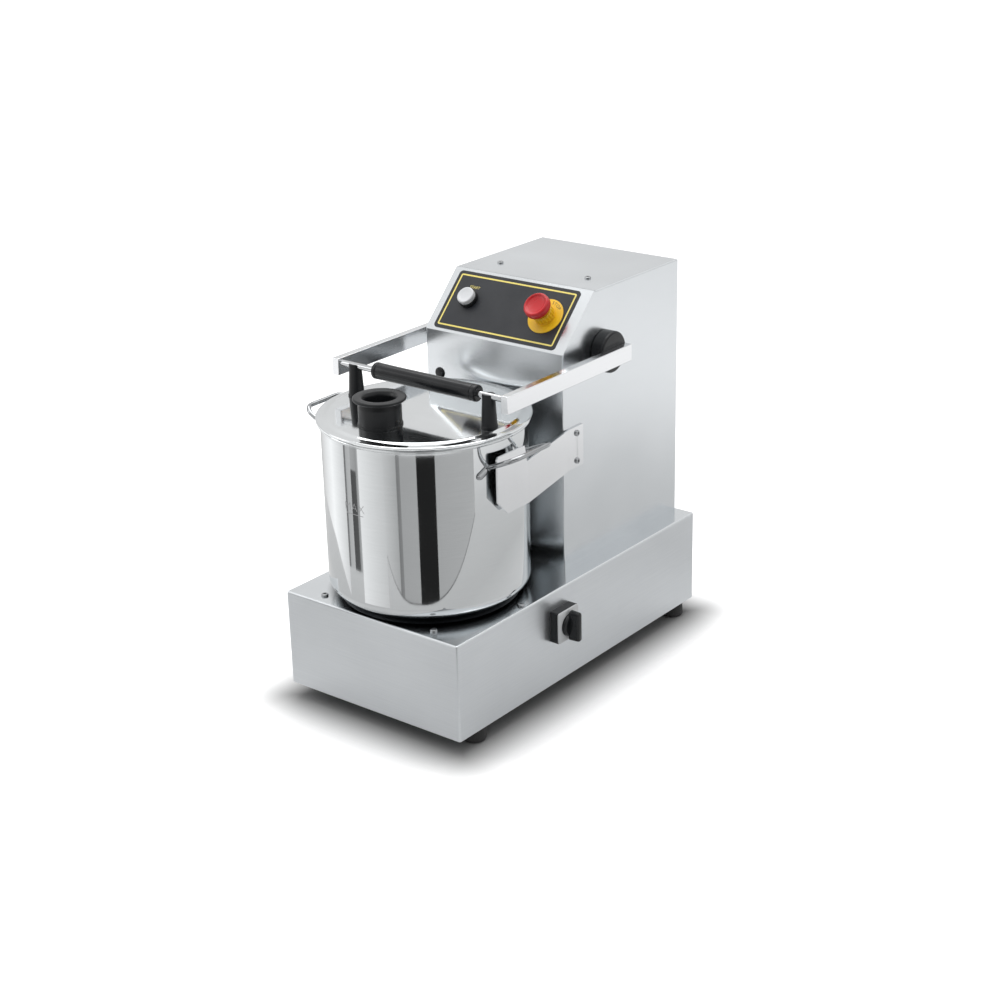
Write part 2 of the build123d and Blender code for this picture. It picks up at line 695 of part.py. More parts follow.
BRACKET_X = 152.0  # inner face of the tab that stands in the handle's loop
BRACKET_FLAT = 34.0  # length screwed to the column
BRACKET_BEND_Y = 32.0  # where the tab turns parallel, behind the bowl's axis
BRACKET_FRONT_Y = -35.0
BRACKET_LOW = 321.0
BRACKET_HIGH = 383.0
BRACKET_TAB_TOP = 407.0
BRACKET_CHAMFER = 21.0
BRACKET_TAB_BACK_Y = 26.0
BRACKET_START = 10.0  # front end of the screwed flat, behind the column's front
BRACKET_SCREW_BACK = 18.0
BRACKET_SCREW_DZ = 21.0
TAB_CORNER = 3.0
TAB_SLOPE = 4.0


def bowl_bracket():
    """Joggled sheet bracket: its front tab stands in the bowl handle's loop and stops the bowl turning."""
    x0 = COLUMN_W / 2
    flat_front = COLUMN_Y0 + BRACKET_START
    flat_back = flat_front + BRACKET_FLAT
    bend = BOWL_Y + BRACKET_BEND_Y
    front = BOWL_Y + BRACKET_FRONT_Y
    t = BRACKET_T
    plan = Polyline(
        (x0, flat_back),
        (x0, flat_front),
        (BRACKET_X, bend),
        (BRACKET_X, front),
        (BRACKET_X + t, front),
        (BRACKET_X + t, bend),
        (x0 + t, flat_front),
        (x0 + t, flat_back),
        close=True,
    )
    strip = extrude(Pos(0, 0, BRACKET_LOW) * make_face(plan), BRACKET_TAB_TOP - BRACKET_LOW)
    tab_back = BOWL_Y + BRACKET_TAB_BACK_Y
    side = Polyline(
        (0, front, BRACKET_LOW + BRACKET_CHAMFER),
        (0, front + BRACKET_CHAMFER, BRACKET_LOW),
        (0, flat_back, BRACKET_LOW),
        (0, flat_back, BRACKET_HIGH),
        (0, tab_back + TAB_SLOPE, BRACKET_HIGH),
        (0, tab_back, BRACKET_TAB_TOP),
        (0, front + TAB_CORNER, BRACKET_TAB_TOP),
        (0, front, BRACKET_TAB_TOP - TAB_CORNER),
        close=True,
    )
    mask = extrude(Pos(COLUMN_W, 0, 0) * make_face(side), COLUMN_W / 2, both=True)
    bracket = strip & mask
    for x, y, z in bracket_screw_places():
        bracket -= crosswise(M5_R + SLIP / 2, x - THROUGH, x + THROUGH, y, z)
    return bracket


def bracket_screw_places():
    """Two screws, one over the other, on the column's right side."""
    y = COLUMN_Y0 + BRACKET_START + BRACKET_SCREW_BACK
    middle = (BRACKET_LOW + BRACKET_HIGH) / 2
    return [(COLUMN_W / 2, y, middle + dz) for dz in (-BRACKET_SCREW_DZ, BRACKET_SCREW_DZ)]


# ---------------------------------------------------------------- knife
KNIFE_HUB_FOOT_R = 34.0
KNIFE_SEAT_R = 29.0
KNIFE_Z = BOWL_Z0 + BOWL_WALL + 8.0
HUB_BORE_R = BOWL_TUBE_R + 1.2
KNIFE_BEVEL = 8.0
KNIFE_ROOT_R = KNIFE_SEAT_R + 9.0
UPPER_SEAT_R = KNIFE_SEAT_R - 2.0
KNIFE_SPACER_R = KNIFE_SEAT_R + 5.0
CLAMP_RING_H = 10.0
DRIVE_H = 24.0  # height of the driving flats
DRIVE_HALF = SPINDLE_TIP_R - 1.5
TIP_IN_NUT = 12.0
HUB_UNDER = 2.0  # hub's foot above the bowl's floor
HUB_NOSE = 8.0
NUT_FOOT_R = 17.0
NUT_R = 19.0
NUT_H = 24.0
NUT_TOP_R = 15.0
NUT_FLUTES = 8
NUT_FLUTE_R = 5.0
BELLY_SHARE = 0.62  # where a blade is bent most, as a share of its sweep


def spindle():
    """Drive shaft from the pulley up through the bowl's tube to the knife hub."""
    z0 = PULLEY_Z - WASHER_T
    tip_z = HUB_TOP_Z - DRIVE_H
    shaft = upright(SPINDLE_R, z0, tip_z)
    shaft += upright(SPINDLE_TIP_R, tip_z, HUB_TOP_Z + TIP_IN_NUT)
    shaft += upright(SPINDLE_R + WASHER_OUT, z0, PULLEY_Z)
    for sx in (-1, 1):
        beyond = tuple(sorted((sx * DRIVE_HALF, sx * 2 * SPINDLE_R)))
        shaft -= block(beyond, (-SPINDLE_R, SPINDLE_R), (tip_z, HUB_TOP_Z))
    return Pos(0, BOWL_Y, 0) * shaft


def knife_hub():
    """Sleeve over the bowl's tube, driven by flats at the spindle's tip."""
    z0 = BOWL_Z0 + BOWL_WALL + HUB_UNDER
    seat1 = KNIFE_Z + KNIFE_T
    seat2 = seat1 + KNIFE_GAP
    hub = turned(
        [
            (0, z0),
            (KNIFE_HUB_FOOT_R, z0),
            (KNIFE_HUB_FOOT_R, KNIFE_Z),
            (KNIFE_SEAT_R, KNIFE_Z),
            (KNIFE_SEAT_R, seat2),
            (UPPER_SEAT_R, seat2),
            (UPPER_SEAT_R, seat2 + KNIFE_T + CLAMP_RING_H + 4),
            (UPPER_SEAT_R - 1, HUB_TOP_Z - HUB_NOSE),
            (UPPER_SEAT_R - HUB_NOSE + 2, HUB_TOP_Z),
            (0, HUB_TOP_Z),
        ]
    )
    hub -= upright(HUB_BORE_R, z0 - 1, HUB_TOP_Z - DRIVE_H)
    drive = upright(SPINDLE_TIP_R, HUB_TOP_Z - DRIVE_H - 1, HUB_TOP_Z + 1)
    drive &= block(
        (-DRIVE_HALF, DRIVE_HALF),
        (-SPINDLE_R, SPINDLE_R),
        (HUB_TOP_Z - 2 * DRIVE_H, HUB_TOP_Z + THROUGH),
    )
    hub -= drive
    return Pos(0, BOWL_Y, 0) * hub


def polar(radius, degrees):
    """Point at a radius and an angle."""
    a = math.radians(degrees)
    return (radius * math.cos(a), radius * math.sin(a))


LEAD_ROOT_AT = -42.0  # leading edge of an arm, from root to tip, as angles about the spindle
LEAD_BELLY_AT = -17.0
LEAD_TIP_AT = 22.0
TRAIL_ROOT_AT = 40.0  # trailing edge of the same arm
TRAIL_BELLY_AT = 12.0
TRAIL_TIP_AT = 29.0


def sickle_arm():
    """One curved arm, ground to a bevel along its leading edge."""
    root = KNIFE_ROOT_R - 5.0
    tip = KNIFE_SWEEP_R
    belly = tip * BELLY_SHARE
    lead_at = [polar(root, LEAD_ROOT_AT), polar(belly, LEAD_BELLY_AT), polar(tip, LEAD_TIP_AT)]
    trail_at = [polar(tip - 4, TRAIL_TIP_AT), polar(belly, TRAIL_BELLY_AT), polar(root, TRAIL_ROOT_AT)]
    lead = ThreePointArc(*lead_at)
    tip_edge = Line(lead_at[2], trail_at[0])
    trail = ThreePointArc(*trail_at)
    root_edge = Line(trail_at[2], lead_at[0])
    arm = extrude(make_face(Curve() + [lead, tip_edge, trail, root_edge]), KNIFE_T)
    centre = lead.arc_center
    far = lead.radius
    near = far - KNIFE_BEVEL
    edge = KNIFE_T * 0.15
    above = KNIFE_T + 1
    wedge = turned([(near, KNIFE_T), (near, above), (far + 1, above), (far + 1, edge), (far, edge)])
    wedge = Pos(centre.X, centre.Y, 0) * wedge
    wedge -= Cylinder(KNIFE_ROOT_R, 4 * KNIFE_T)
    return arm - wedge


def sickle_knife(z0, turn, bore_r):
    """S-shaped knife: two curved arms on a ring that fits the hub."""
    arm = sickle_arm()
    ring = extrude(Circle(KNIFE_ROOT_R), KNIFE_T)
    knife = ring + arm + Rot(0, 0, 180) * arm
    knife -= Cylinder(bore_r + RUN_FIT, 4 * KNIFE_T)
    return Pos(0, BOWL_Y, z0) * Rot(0, 0, turn) * knife


def knife_spacers():
    """Sleeve between the knives and a clamping ring above the upper one."""
    low = KNIFE_Z + KNIFE_T
    high = low + KNIFE_GAP
    sleeve = upright(KNIFE_SPACER_R, low, high) - upright(KNIFE_SEAT_R + RUN_FIT, low - 1, high + 1)
    top = high + KNIFE_T
    ring = upright(KNIFE_SPACER_R, top, top + CLAMP_RING_H)
    ring = chamfer(ring.edges().group_by(Axis.Z)[-1], 1.5)
    ring -= upright(UPPER_SEAT_R + RUN_FIT, top - 1, top + CLAMP_RING_H + 1)
    return group([Pos(0, BOWL_Y, 0) * piece for piece in (sleeve, ring)])


def knife_hand_nut():
    """Hand nut that clamps the knife hub on the spindle."""
    z0 = HUB_TOP_Z
    z1 = z0 + NUT_H
    knob = turned([(0, z0), (NUT_FOOT_R, z0), (NUT_R, z0 + 4), (NUT_R, z1 - 6), (NUT_TOP_R, z1), (0, z1)])
    for x, y in ring_of(NUT_FLUTES, NUT_R + 3):
        knob -= upright(NUT_FLUTE_R, z0 - 1, z1 + 1, x, y)
    knob -= upright(SPINDLE_TIP_R, z0 - 1, z0 + TIP_IN_NUT)
    return Pos(0, BOWL_Y, 0) * knob


# ---------------------------------------------------------------- column
COLUMN_IN_X = COLUMN_W / 2 - SHEET
BUSH_R = 11.0
BUSH_FLANGE_R = 16.0
BUSH_FLANGE_T = 3.0
PLUG_X = -100.0
PLUG_Z = 430.0
PLUG_HOLE_R = 6.0
PLUG_HEAD_R = 8.5
PLUG_HEAD_H = 4.0
PLUG_DOME_R = 3.4
PLUG_DEPTH = 8.0
TOP_SCREWS = [(-82.0, 51.0), (78.0, 51.0)]  # across, and behind the slope's top edge
TOP_LEDGE = 64.0  # ledge under the cover's top
BACK_SCREW_Z = (239.0, 509.0)
COVER_GAP = 0.5
TAB = 16.0


FLARE = 50.0  # the outline runs this far past the column before it is cut to length


def column_profile(inset=0.0):
    """Side outline of the column: upright front, sloped panel, flat top."""
    tilt = math.radians(SLOPE_ANGLE)
    shift = inset * math.tan(tilt / 2) if inset else 0.0
    return [
        (COLUMN_Y0 + inset, BASE_TOP - FLARE),
        (COLUMN_Y0 + inset, SLOPE_Z0 - shift),
        (COLUMN_Y0 + SLOPE_DEPTH + shift, COLUMN_TOP - inset),
        (COLUMN_Y1 + FLARE, COLUMN_TOP - inset),
        (COLUMN_Y1 + FLARE, BASE_TOP - FLARE),
    ]


def column_slab(half_width, inset):
    """Column outline carried across the machine."""
    outline = make_face(Polyline(*[(0, y, z) for y, z in column_profile(inset)], close=True))
    return extrude(outline, half_width, both=True)


def column_shell():
    """Front, sloped panel and both sides folded from one sheet."""
    z0 = BASE_TOP
    slope_top = COLUMN_Y0 + SLOPE_DEPTH
    body = column_slab(COLUMN_W / 2, 0) & block(
        (-COLUMN_W, COLUMN_W), (COLUMN_Y0 - 1, COLUMN_Y1), (z0, COLUMN_TOP)
    )
    body = fillet(body.edges().filter_by(Axis.Z).group_by(Axis.Y)[0], FOLD_R)
    inner = column_slab(COLUMN_IN_X, SHEET) & block(
        (-COLUMN_W, COLUMN_W), (COLUMN_Y0, COLUMN_Y1 + THROUGH), (z0 + SHEET, COLUMN_TOP + 5)
    )
    body -= inner
    open_top = block(
        (-COLUMN_W, COLUMN_W),
        (slope_top + SHEET, COLUMN_Y1 + THROUGH),
        (COLUMN_TOP - SHEET - COVER_GAP / 2, COLUMN_TOP + 5),
    )
    open_back = block(
        (-COLUMN_W, COLUMN_W),
        (COLUMN_Y1 - SHEET, COLUMN_Y1 + THROUGH),
        (z0 - THROUGH, COLUMN_TOP + THROUGH),
    )
    lip = SHEET + COLUMN_LIP
    floor = block(
        (-COLUMN_W / 2 + lip, COLUMN_W / 2 - lip),
        (COLUMN_Y0 + lip, COLUMN_Y1 + THROUGH),
        (z0 - 1, z0 + SHEET + 1),
    )
    body = body - open_top - open_back - floor
    for sx in (-1, 1):
        tab = block(
            tuple(sorted((sx * COLUMN_IN_X, sx * (COLUMN_IN_X - TAB)))),
            (COLUMN_Y1 - 2 * SHEET, COLUMN_Y1 - SHEET),
            (z0 + SHEET, COLUMN_TOP - SHEET - TAB),
        )
        body += tab
    ledge_z = COLUMN_TOP - SHEET - COVER_GAP / 2
    ledge = block(
        (-COLUMN_IN_X, COLUMN_IN_X),
        (slope_top + SHEET, slope_top + TOP_LEDGE),
        (ledge_z - SHEET, ledge_z),
    )
    body += ledge
    for sx in (-1, 1):
        inside, outside = sorted((sx * (COLUMN_W / 2 - THROUGH), sx * (COLUMN_W / 2 + THROUGH)))
        body -= crosswise(BUSH_R + SLIP / 2, inside, outside, PIVOT_Y, PIVOT_Z)
    for x, y, z in bracket_screw_places():
        body -= crosswise(M5_R + SLIP / 2, x - THROUGH, x + THROUGH, y, z)
    for x, y in column_screw_places():
        body -= upright(M5_R + SLIP / 2, z0 - 1, z0 + SHEET + 1, x, y)
    for x, z in back_screw_places():
        body -= Pos(x, COLUMN_Y1, z) * Rot(90, 0, 0) * Cylinder(M5_R + SLIP / 2, 2 * THROUGH)
    for x, y in top_screw_places():
        body -= upright(M5_R + SLIP / 2, COLUMN_TOP - THROUGH, COLUMN_TOP + THROUGH, x, y)
    body -= Pos(PLUG_X, COLUMN_Y0, PLUG_Z) * Rot(90, 0, 0) * Cylinder(PLUG_HOLE_R + SLIP / 2, 2 * THROUGH)
    body -= on_slope(START_X, START_UP) * Cylinder(PANEL_HOLE_R, 2 * THROUGH)
    body -= on_slope(ESTOP_X, ESTOP_UP) * Cylinder(PANEL_HOLE_R, 2 * THROUGH)
    return body


def top_screw_places():
    """Screws that show on the column's top."""
    return [(x, COLUMN_Y0 + SLOPE_DEPTH + behind) for x, behind in TOP_SCREWS]


def back_screw_places():
    """Screws down both sides of the column's back."""
    return [(sx * (COLUMN_IN_X - TAB / 2), z) for sx in (-1, 1) for z in BACK_SCREW_Z]


LOUVRE_COUNT = 8
LOUVRE_L = 90.0
LOUVRE_W = 4.0
LOUVRE_FROM = 60.0  # lowest louvre above the base
LOUVRE_PITCH = 14.0


def column_rear_cover():
    """Top and back folded from one sheet, with louvres behind the motor."""
    slope_top = COLUMN_Y0 + SLOPE_DEPTH
    half = COLUMN_W / 2
    top_z = (COLUMN_TOP - SHEET, COLUMN_TOP)
    top = block((-half, half), (slope_top + SHEET + COVER_GAP, COLUMN_Y1), top_z)
    back = block((-half, half), (COLUMN_Y1 - SHEET, COLUMN_Y1), (BASE_TOP + COVER_GAP, COLUMN_TOP))
    cover = top + back
    corner = cover.edges().filter_by(Axis.X).sort_by(lambda e: e.center().Y + e.center().Z)[-1]
    cover = fillet(corner, FOLD_R)
    half_l = LOUVRE_L / 2
    half_w = LOUVRE_W / 2
    slot = block((-half_l, half_l), (COLUMN_Y1 - THROUGH, COLUMN_Y1 + THROUGH), (-half_w, half_w))
    for i in range(LOUVRE_COUNT):
        cover -= Pos(0, 0, BASE_TOP + LOUVRE_FROM + LOUVRE_PITCH * i) * slot
    for x, z in back_screw_places():
        cover -= Pos(x, COLUMN_Y1, z) * Rot(90, 0, 0) * Cylinder(M5_R + SLIP / 2, 2 * THROUGH)
    for x, y in top_screw_places():
        cover -= upright(M5_R + SLIP / 2, COLUMN_TOP - THROUGH, COLUMN_TOP + THROUGH, x, y)
    return cover


COLUMN_SCREW_L = 12.0


def column_screws():
    """The same pan-head screw all over the column: top, back, bottom flange and bracket."""
    screw = pan_screw(M5_R, COLUMN_SCREW_L, M5_HEAD_R, M5_HEAD_H)
    places = [Pos(x, y, COLUMN_TOP) for x, y in top_screw_places()]
    places += [Pos(x, COLUMN_Y1, z) * Rot(-90, 0, 0) for x, z in back_screw_places()]
    places += [Pos(x, y, BASE_TOP + SHEET) for x, y in column_screw_places()]
    places += [Pos(x + BRACKET_T, y, z) * Rot(0, 90, 0) for x, y, z in bracket_screw_places()]
    return group([place * screw for place in places])


def column_plug():
    """Domed black plug in the column's front."""
    cap = Pos(0, 0, PLUG_HEAD_H / 2) * Cylinder(PLUG_HEAD_R, PLUG_HEAD_H)
    cap = fillet(cap.edges().group_by(Axis.Z)[-1], PLUG_DOME_R)
    plug = cap + Pos(0, 0, -PLUG_DEPTH / 2) * Cylinder(PLUG_HOLE_R, PLUG_DEPTH)
    return Pos(PLUG_X, COLUMN_Y0, PLUG_Z) * Rot(90, 0, 0) * plug


def pivot_bushes():
    """Flanged bushes that carry the lid's shaft in the column's sides."""
    bushes = []
    for sx in (-1, 1):
        inside = COLUMN_IN_X - BUSH_FLANGE_T
        sleeve = crosswise(BUSH_R, inside, COLUMN_W / 2, PIVOT_Y, PIVOT_Z)
        sleeve += crosswise(BUSH_FLANGE_R, inside, COLUMN_IN_X, PIVOT_Y, PIVOT_Z)
        sleeve -= crosswise(PIVOT_SHAFT_R + RUN_FIT, inside - 1, COLUMN_W, PIVOT_Y, PIVOT_Z)
        bushes.append(sleeve if sx > 0 else mirror(sleeve, Plane.YZ))
    return group(bushes)


DISC_R = 22.0
DISC_W = 8.0
DISC_HUB_R = 12.0
DISC_FROM_SIDE = 35.0  # sensor disc's outer face from the column's inner side
MAGNET_R = 4.0
SENSOR_GAP = 0.8  # between the disc's rim and the sensor's face
SENSOR_L = 30.0
SENSOR_H = 36.0
SENSOR_W = 18.0
SENSOR_FOOT_T = 3.0
DISC_X = -COLUMN_IN_X + DISC_FROM_SIDE


def magnet_disc():
    """Disc on the lid's shaft with a magnet in its rim, which faces the sensor when the lid is down."""
    disc = crosswise(DISC_R, DISC_X, DISC_X + DISC_W, PIVOT_Y, PIVOT_Z)
    disc += crosswise(DISC_HUB_R, DISC_X, DISC_X + 2 * DISC_W, PIVOT_Y, PIVOT_Z)
    disc -= crosswise(PIVOT_SHAFT_R, DISC_X, DISC_X + 2 * DISC_W, PIVOT_Y, PIVOT_Z)
    magnet = Pos(DISC_X + DISC_W / 2, PIVOT_Y + DISC_R, PIVOT_Z) * Rot(90, 0, 0) * Cylinder(
        MAGNET_R / 2, MAGNET_R
    )
    return disc - magnet


def lid_sensor():
    """Safety sensor on a foot from the column's side; it faces the disc's magnet with the lid down."""
    middle = DISC_X + DISC_W / 2
    y0 = PIVOT_Y + DISC_R + SENSOR_GAP
    wide = (middle - SENSOR_W / 2, middle + SENSOR_W / 2)
    high = (PIVOT_Z - SENSOR_H / 2, PIVOT_Z + SENSOR_H / 2)
    body = block(wide, (y0, y0 + SENSOR_L), high)
    shelf = block(
        (-COLUMN_IN_X, wide[1]), (y0, y0 + SENSOR_L), (high[0] - SENSOR_FOOT_T, high[0])
    )
    flange = block(
        (-COLUMN_IN_X, -COLUMN_IN_X + SENSOR_FOOT_T), (y0, y0 + SENSOR_L), (high[0] - SENSOR_FOOT_T, PIVOT_Z)
    )
    return body + shelf + flange


CONTACTOR_FROM_BACK = 95.0
CONTACTOR_BELOW_TOP = 130.0
CONTACTOR_W = 56.0
CONTACTOR_H = 78.0
CONTACTOR_T = 72.0
CONTACTOR_BASE_T = 45.0
CONTACTOR_STEP = 14.0


def contactor():
    """Motor contactor on the column's left side."""
    y0 = COLUMN_Y1 - CONTACTOR_FROM_BACK
    y1 = y0 + CONTACTOR_W
    z0 = COLUMN_TOP - CONTACTOR_BELOW_TOP
    z1 = z0 + CONTACTOR_H
    base = block((-COLUMN_IN_X, -COLUMN_IN_X + CONTACTOR_BASE_T), (y0, y1), (z0, z1))
    step = CONTACTOR_STEP
    top = block(
        (-COLUMN_IN_X, -COLUMN_IN_X + CONTACTOR_T),
        (y0 + step / 2, y1 - step / 2),
        (z0 + step, z1 - step),
    )
    return base + top


# ---------------------------------------------------------------- control panel
PANEL_HOLE_R = 11.2
BEZEL_R = 15.0
BEZEL_H = 7.0
START_CAP_R = 13.4
START_CAP_OUT = 6.5
LEGEND_R = 28.0
LEGEND_T = 1.2
COLLAR_BODY_R = 16.0
COLLAR_H = 14.0
MUSHROOM_R = 20.0
MUSHROOM_H = 13.0
STEM_R = 7.0
STEM_IN_HEAD = 7.0
HEAD_GAP = 1.0  # mushroom above the collar when it is pressed
PLUNGER_R = 5.0
PLUNGER_L = 20.0  # plungers behind the panel
NECK_R = 11.0
START_NECK_L = 24.0
STOP_NECK_L = 26.0
BEZEL_FLOOR = 1.5
COLLAR_GROOVES = 16
GROOVE_R = 1.2
CONTACT_BLOCK = (30.0, 40.0, 26.0)  # width, length, height


def control_label():
    """Rounded label on the slope, with holes for both buttons."""
    up = SLOPE_DROP / math.sin(math.radians(SLOPE_ANGLE)) / 2
    plate = extrude(RectangleRounded(LABEL_W, LABEL_H, LABEL_CORNER_R), LABEL_T)
    plate = on_slope(LABEL_X, up) * plate
    plate -= on_slope(START_X, START_UP) * Cylinder(PANEL_HOLE_R, 2 * THROUGH)
    plate -= on_slope(ESTOP_X, ESTOP_UP) * Cylinder(PANEL_HOLE_R, 2 * THROUGH)
    return plate


def start_button_bezel():
    """Black bezel and threaded neck of the start button."""
    flange = Pos(0, 0, BEZEL_H / 2) * Cylinder(BEZEL_R, BEZEL_H)
    flange = fillet(flange.edges().group_by(Axis.Z)[-1], 1.0)
    neck = upright(NECK_R, -START_NECK_L, 0)
    body = flange + neck
    body -= Pos(0, 0, BEZEL_H) * Cylinder(START_CAP_R + AIR, 2 * (BEZEL_H - BEZEL_FLOOR))
    body -= upright(PLUNGER_R + AIR, -2 * START_NECK_L, 2 * START_NECK_L)
    return on_slope(START_X, START_UP, LABEL_T) * body


def start_button():
    """White start cap on its plunger."""
    low = BEZEL_FLOOR + START_TRAVEL + AIR
    cap = upright(START_CAP_R, low, BEZEL_H + START_CAP_OUT)
    cap = fillet(cap.edges().group_by(Axis.Z)[-1], 2.0)
    plunger = upright(PLUNGER_R, -PLUNGER_L, low)
    return on_slope(START_X, START_UP, LABEL_T) * (cap + plunger)


def estop_legend_disc():
    """Yellow disc under the emergency stop."""
    disc = Pos(0, 0, LEGEND_T / 2) * Cylinder(LEGEND_R, LEGEND_T) - Cylinder(PANEL_HOLE_R, 2 * THROUGH)
    return on_slope(ESTOP_X, ESTOP_UP, LABEL_T) * disc


def estop_collar():
    """Ribbed collar with the threaded neck through the panel."""
    collar = Pos(0, 0, COLLAR_H / 2) * Cylinder(COLLAR_BODY_R, COLLAR_H)
    for x, y in ring_of(COLLAR_GROOVES, COLLAR_BODY_R + GROOVE_R / 2):
        collar -= upright(GROOVE_R, -1, COLLAR_H + 1, x, y)
    neck = upright(NECK_R, -STOP_NECK_L, 0)
    body = collar + neck - upright(STEM_R + RUN_FIT, -2 * STOP_NECK_L, 2 * STOP_NECK_L)
    return on_slope(ESTOP_X, ESTOP_UP, LABEL_T + LEGEND_T) * body


def estop_stem():
    """Push stem of the emergency stop."""
    stem = upright(STEM_R, -PLUNGER_L, COLLAR_H + ESTOP_TRAVEL + HEAD_GAP + STEM_IN_HEAD)
    return on_slope(ESTOP_X, ESTOP_UP, LABEL_T + LEGEND_T) * stem


def estop_mushroom():
    """Mushroom head that turns on the stem to release."""
    low = COLLAR_H + ESTOP_TRAVEL + HEAD_GAP
    head = turned(
        [
            (0, low),
            (MUSHROOM_R - 3, low),
            (MUSHROOM_R, low + 3),
            (MUSHROOM_R - 1.0, low + MUSHROOM_H - 2),
            (MUSHROOM_R - 3.0, low + MUSHROOM_H),
            (0, low + MUSHROOM_H),
        ]
    )
    head -= upright(STEM_R + RUN_FIT, low - 1, low + STEM_IN_HEAD + AIR)
    return on_slope(ESTOP_X, ESTOP_UP, LABEL_T + LEGEND_T) * head


def contact_blocks():
    """Switch elements clipped behind both buttons."""
    w, l, h = CONTACT_BLOCK
    start = Pos(0, 0, -START_NECK_L - h / 2) * Box(w, l, h)
    stop = Pos(0, 0, -STOP_NECK_L - h / 2) * Box(w, l, h)
    return group(
        [
            on_slope(START_X, START_UP, LABEL_T) * start,
            on_slope(ESTOP_X, ESTOP_UP, LABEL_T + LEGEND_T) * stop,
        ]
    )


# ---------------------------------------------------------------- cam switch
SWITCH_BOX_T = 13.0
SWITCH_PLATE_T = 2.5
KNOB_R = 17.0
KNOB_BASE_H = 6.0
KNOB_GRIP_H = 20.0
KNOB_GRIP_L = 46.0
KNOB_GRIP_W = 11.0
KNOB_SHAFT_R = 3.0
KNOB_SHAFT_IN = 6.0  # bore's depth behind the wall
STACK_SIDE = 42.0  # contact stack inside the base
STACK_L = 45.0
SWITCH_CORNER_R = 3.0


def cam_switch_body():
    """Square front box, neck through the wall and the stack of cam contacts inside."""
    half = SWITCH_SIDE
    front = Pos(0, 0, SWITCH_BOX_T / 2) * Box(half, half, SWITCH_BOX_T)
    front = fillet(front.edges().filter_by(Axis.Z), SWITCH_CORNER_R)
    neck = Pos(0, 0, -SHEET / 2) * Cylinder(SWITCH_NECK_R, SHEET)
    stack = Pos(0, 0, -SHEET - STACK_L / 2) * Box(STACK_SIDE, STACK_SIDE, STACK_L)
    body = front + neck + stack
    body -= upright(KNOB_SHAFT_R + RUN_FIT, -KNOB_SHAFT_IN, SWITCH_BOX_T + 1)
    return side_face(SWITCH_Y, SWITCH_Z) * body


def cam_switch_plate():
    """Pale dial plate on the switch's box."""
    plate = Pos(0, 0, SWITCH_PLATE_T / 2) * Box(SWITCH_SIDE, SWITCH_SIDE, SWITCH_PLATE_T)
    plate = fillet(plate.edges().filter_by(Axis.Z), SWITCH_CORNER_R)
    plate -= Cylinder(KNOB_SHAFT_R + 2, 2 * THROUGH)
    return side_face(SWITCH_Y, SWITCH_Z, SWITCH_BOX_T) * plate


def cam_switch_knob():
    """Round knob with an upright grip, on the switch's shaft."""
    low = AIR
    base = Pos(0, 0, low + KNOB_BASE_H / 2) * Cylinder(KNOB_R, KNOB_BASE_H)
    grip = Pos(0, 0, low + KNOB_GRIP_H / 2) * Box(KNOB_GRIP_W, KNOB_GRIP_L, KNOB_GRIP_H)
    grip = fillet(grip.edges().filter_by(Axis.Z), 4.0)
    grip = fillet(grip.edges().group_by(Axis.Z)[-1], 1.5)
    shaft = Pos(0, 0, low - (SWITCH_PLATE_T + SWITCH_BOX_T) / 2) * Cylinder(
        KNOB_SHAFT_R, SWITCH_PLATE_T + SWITCH_BOX_T
    )
    return side_face(SWITCH_Y, SWITCH_Z, SWITCH_BOX_T + SWITCH_PLATE_T) * (base + grip + shaft)


GLAND_NUT_R = 13.5
GLAND_NUT_H = 7.0
LOCK_NUT_H = 5.0
GLAND_IN = 8.0  # thread inside the base
DOME_R = 11.5
DOME_TIP_R = 8.5


def cable_gland():
    """Cable gland through the base's back, with its lock nut inside."""
    z0 = GLAND_NUT_H
    outside = extrude(RegularPolygon(GLAND_NUT_R, 6), GLAND_NUT_H)
    waist = (z0 + GLAND_OUT) / 2
    dome = turned([(0, z0), (DOME_R, z0), (DOME_R, waist), (DOME_TIP_R, GLAND_OUT), (0, GLAND_OUT)])
    thread = upright(GLAND_THREAD_R, -SHEET - GLAND_IN, 1)
    lock = Pos(0, 0, -SHEET - LOCK_NUT_H) * extrude(RegularPolygon(GLAND_NUT_R, 6), LOCK_NUT_H)
    body = outside + dome + thread + lock
    body -= upright(GLAND_BORE_R, -2 * GLAND_OUT, 2 * GLAND_OUT)
    place = Plane(origin=(GLAND_X, BASE_Y1, GLAND_Z), x_dir=(-1, 0, 0), z_dir=(0, 1, 0))
    return Location(place) * body



# ---------------------------------------------------------------- lid
POST_SCREW_R = 2.5
GASKET_LIP = 4.0


def lid():
    """Pressed steel lid: flat middle, stepped shoulder, turned-down edge."""
    top = LID_TOP
    t = LID_T
    edge_low = BOWL_RIM_Z + 0.6
    shell = turned(
        [
            (0, top - t),
            (LID_FLAT_R, top - t),
            (LID_FLAT_R + 6, top - t - 2.2),
            (LID_R - t, top - t - 3.0),
            (LID_R - t, edge_low),
            (LID_R, edge_low),
            (LID_R, top - 3.2),
            (LID_R - 1.4, top - 2.4),
            (LID_FLAT_R + 7, top - 1.8),
            (LID_FLAT_R + 1, top),
            (0, top),
        ],
        y=BOWL_Y,
    )
    shell -= upright(CHUTE_R + SLIP / 2, 0, COLUMN_TOP, CHUTE_X, CHUTE_Y)
    for sx in (-1, 1):
        shell -= upright(POST_SCREW_R + SLIP, 0, COLUMN_TOP, sx * POST_X, ROD_Y)
    return shell


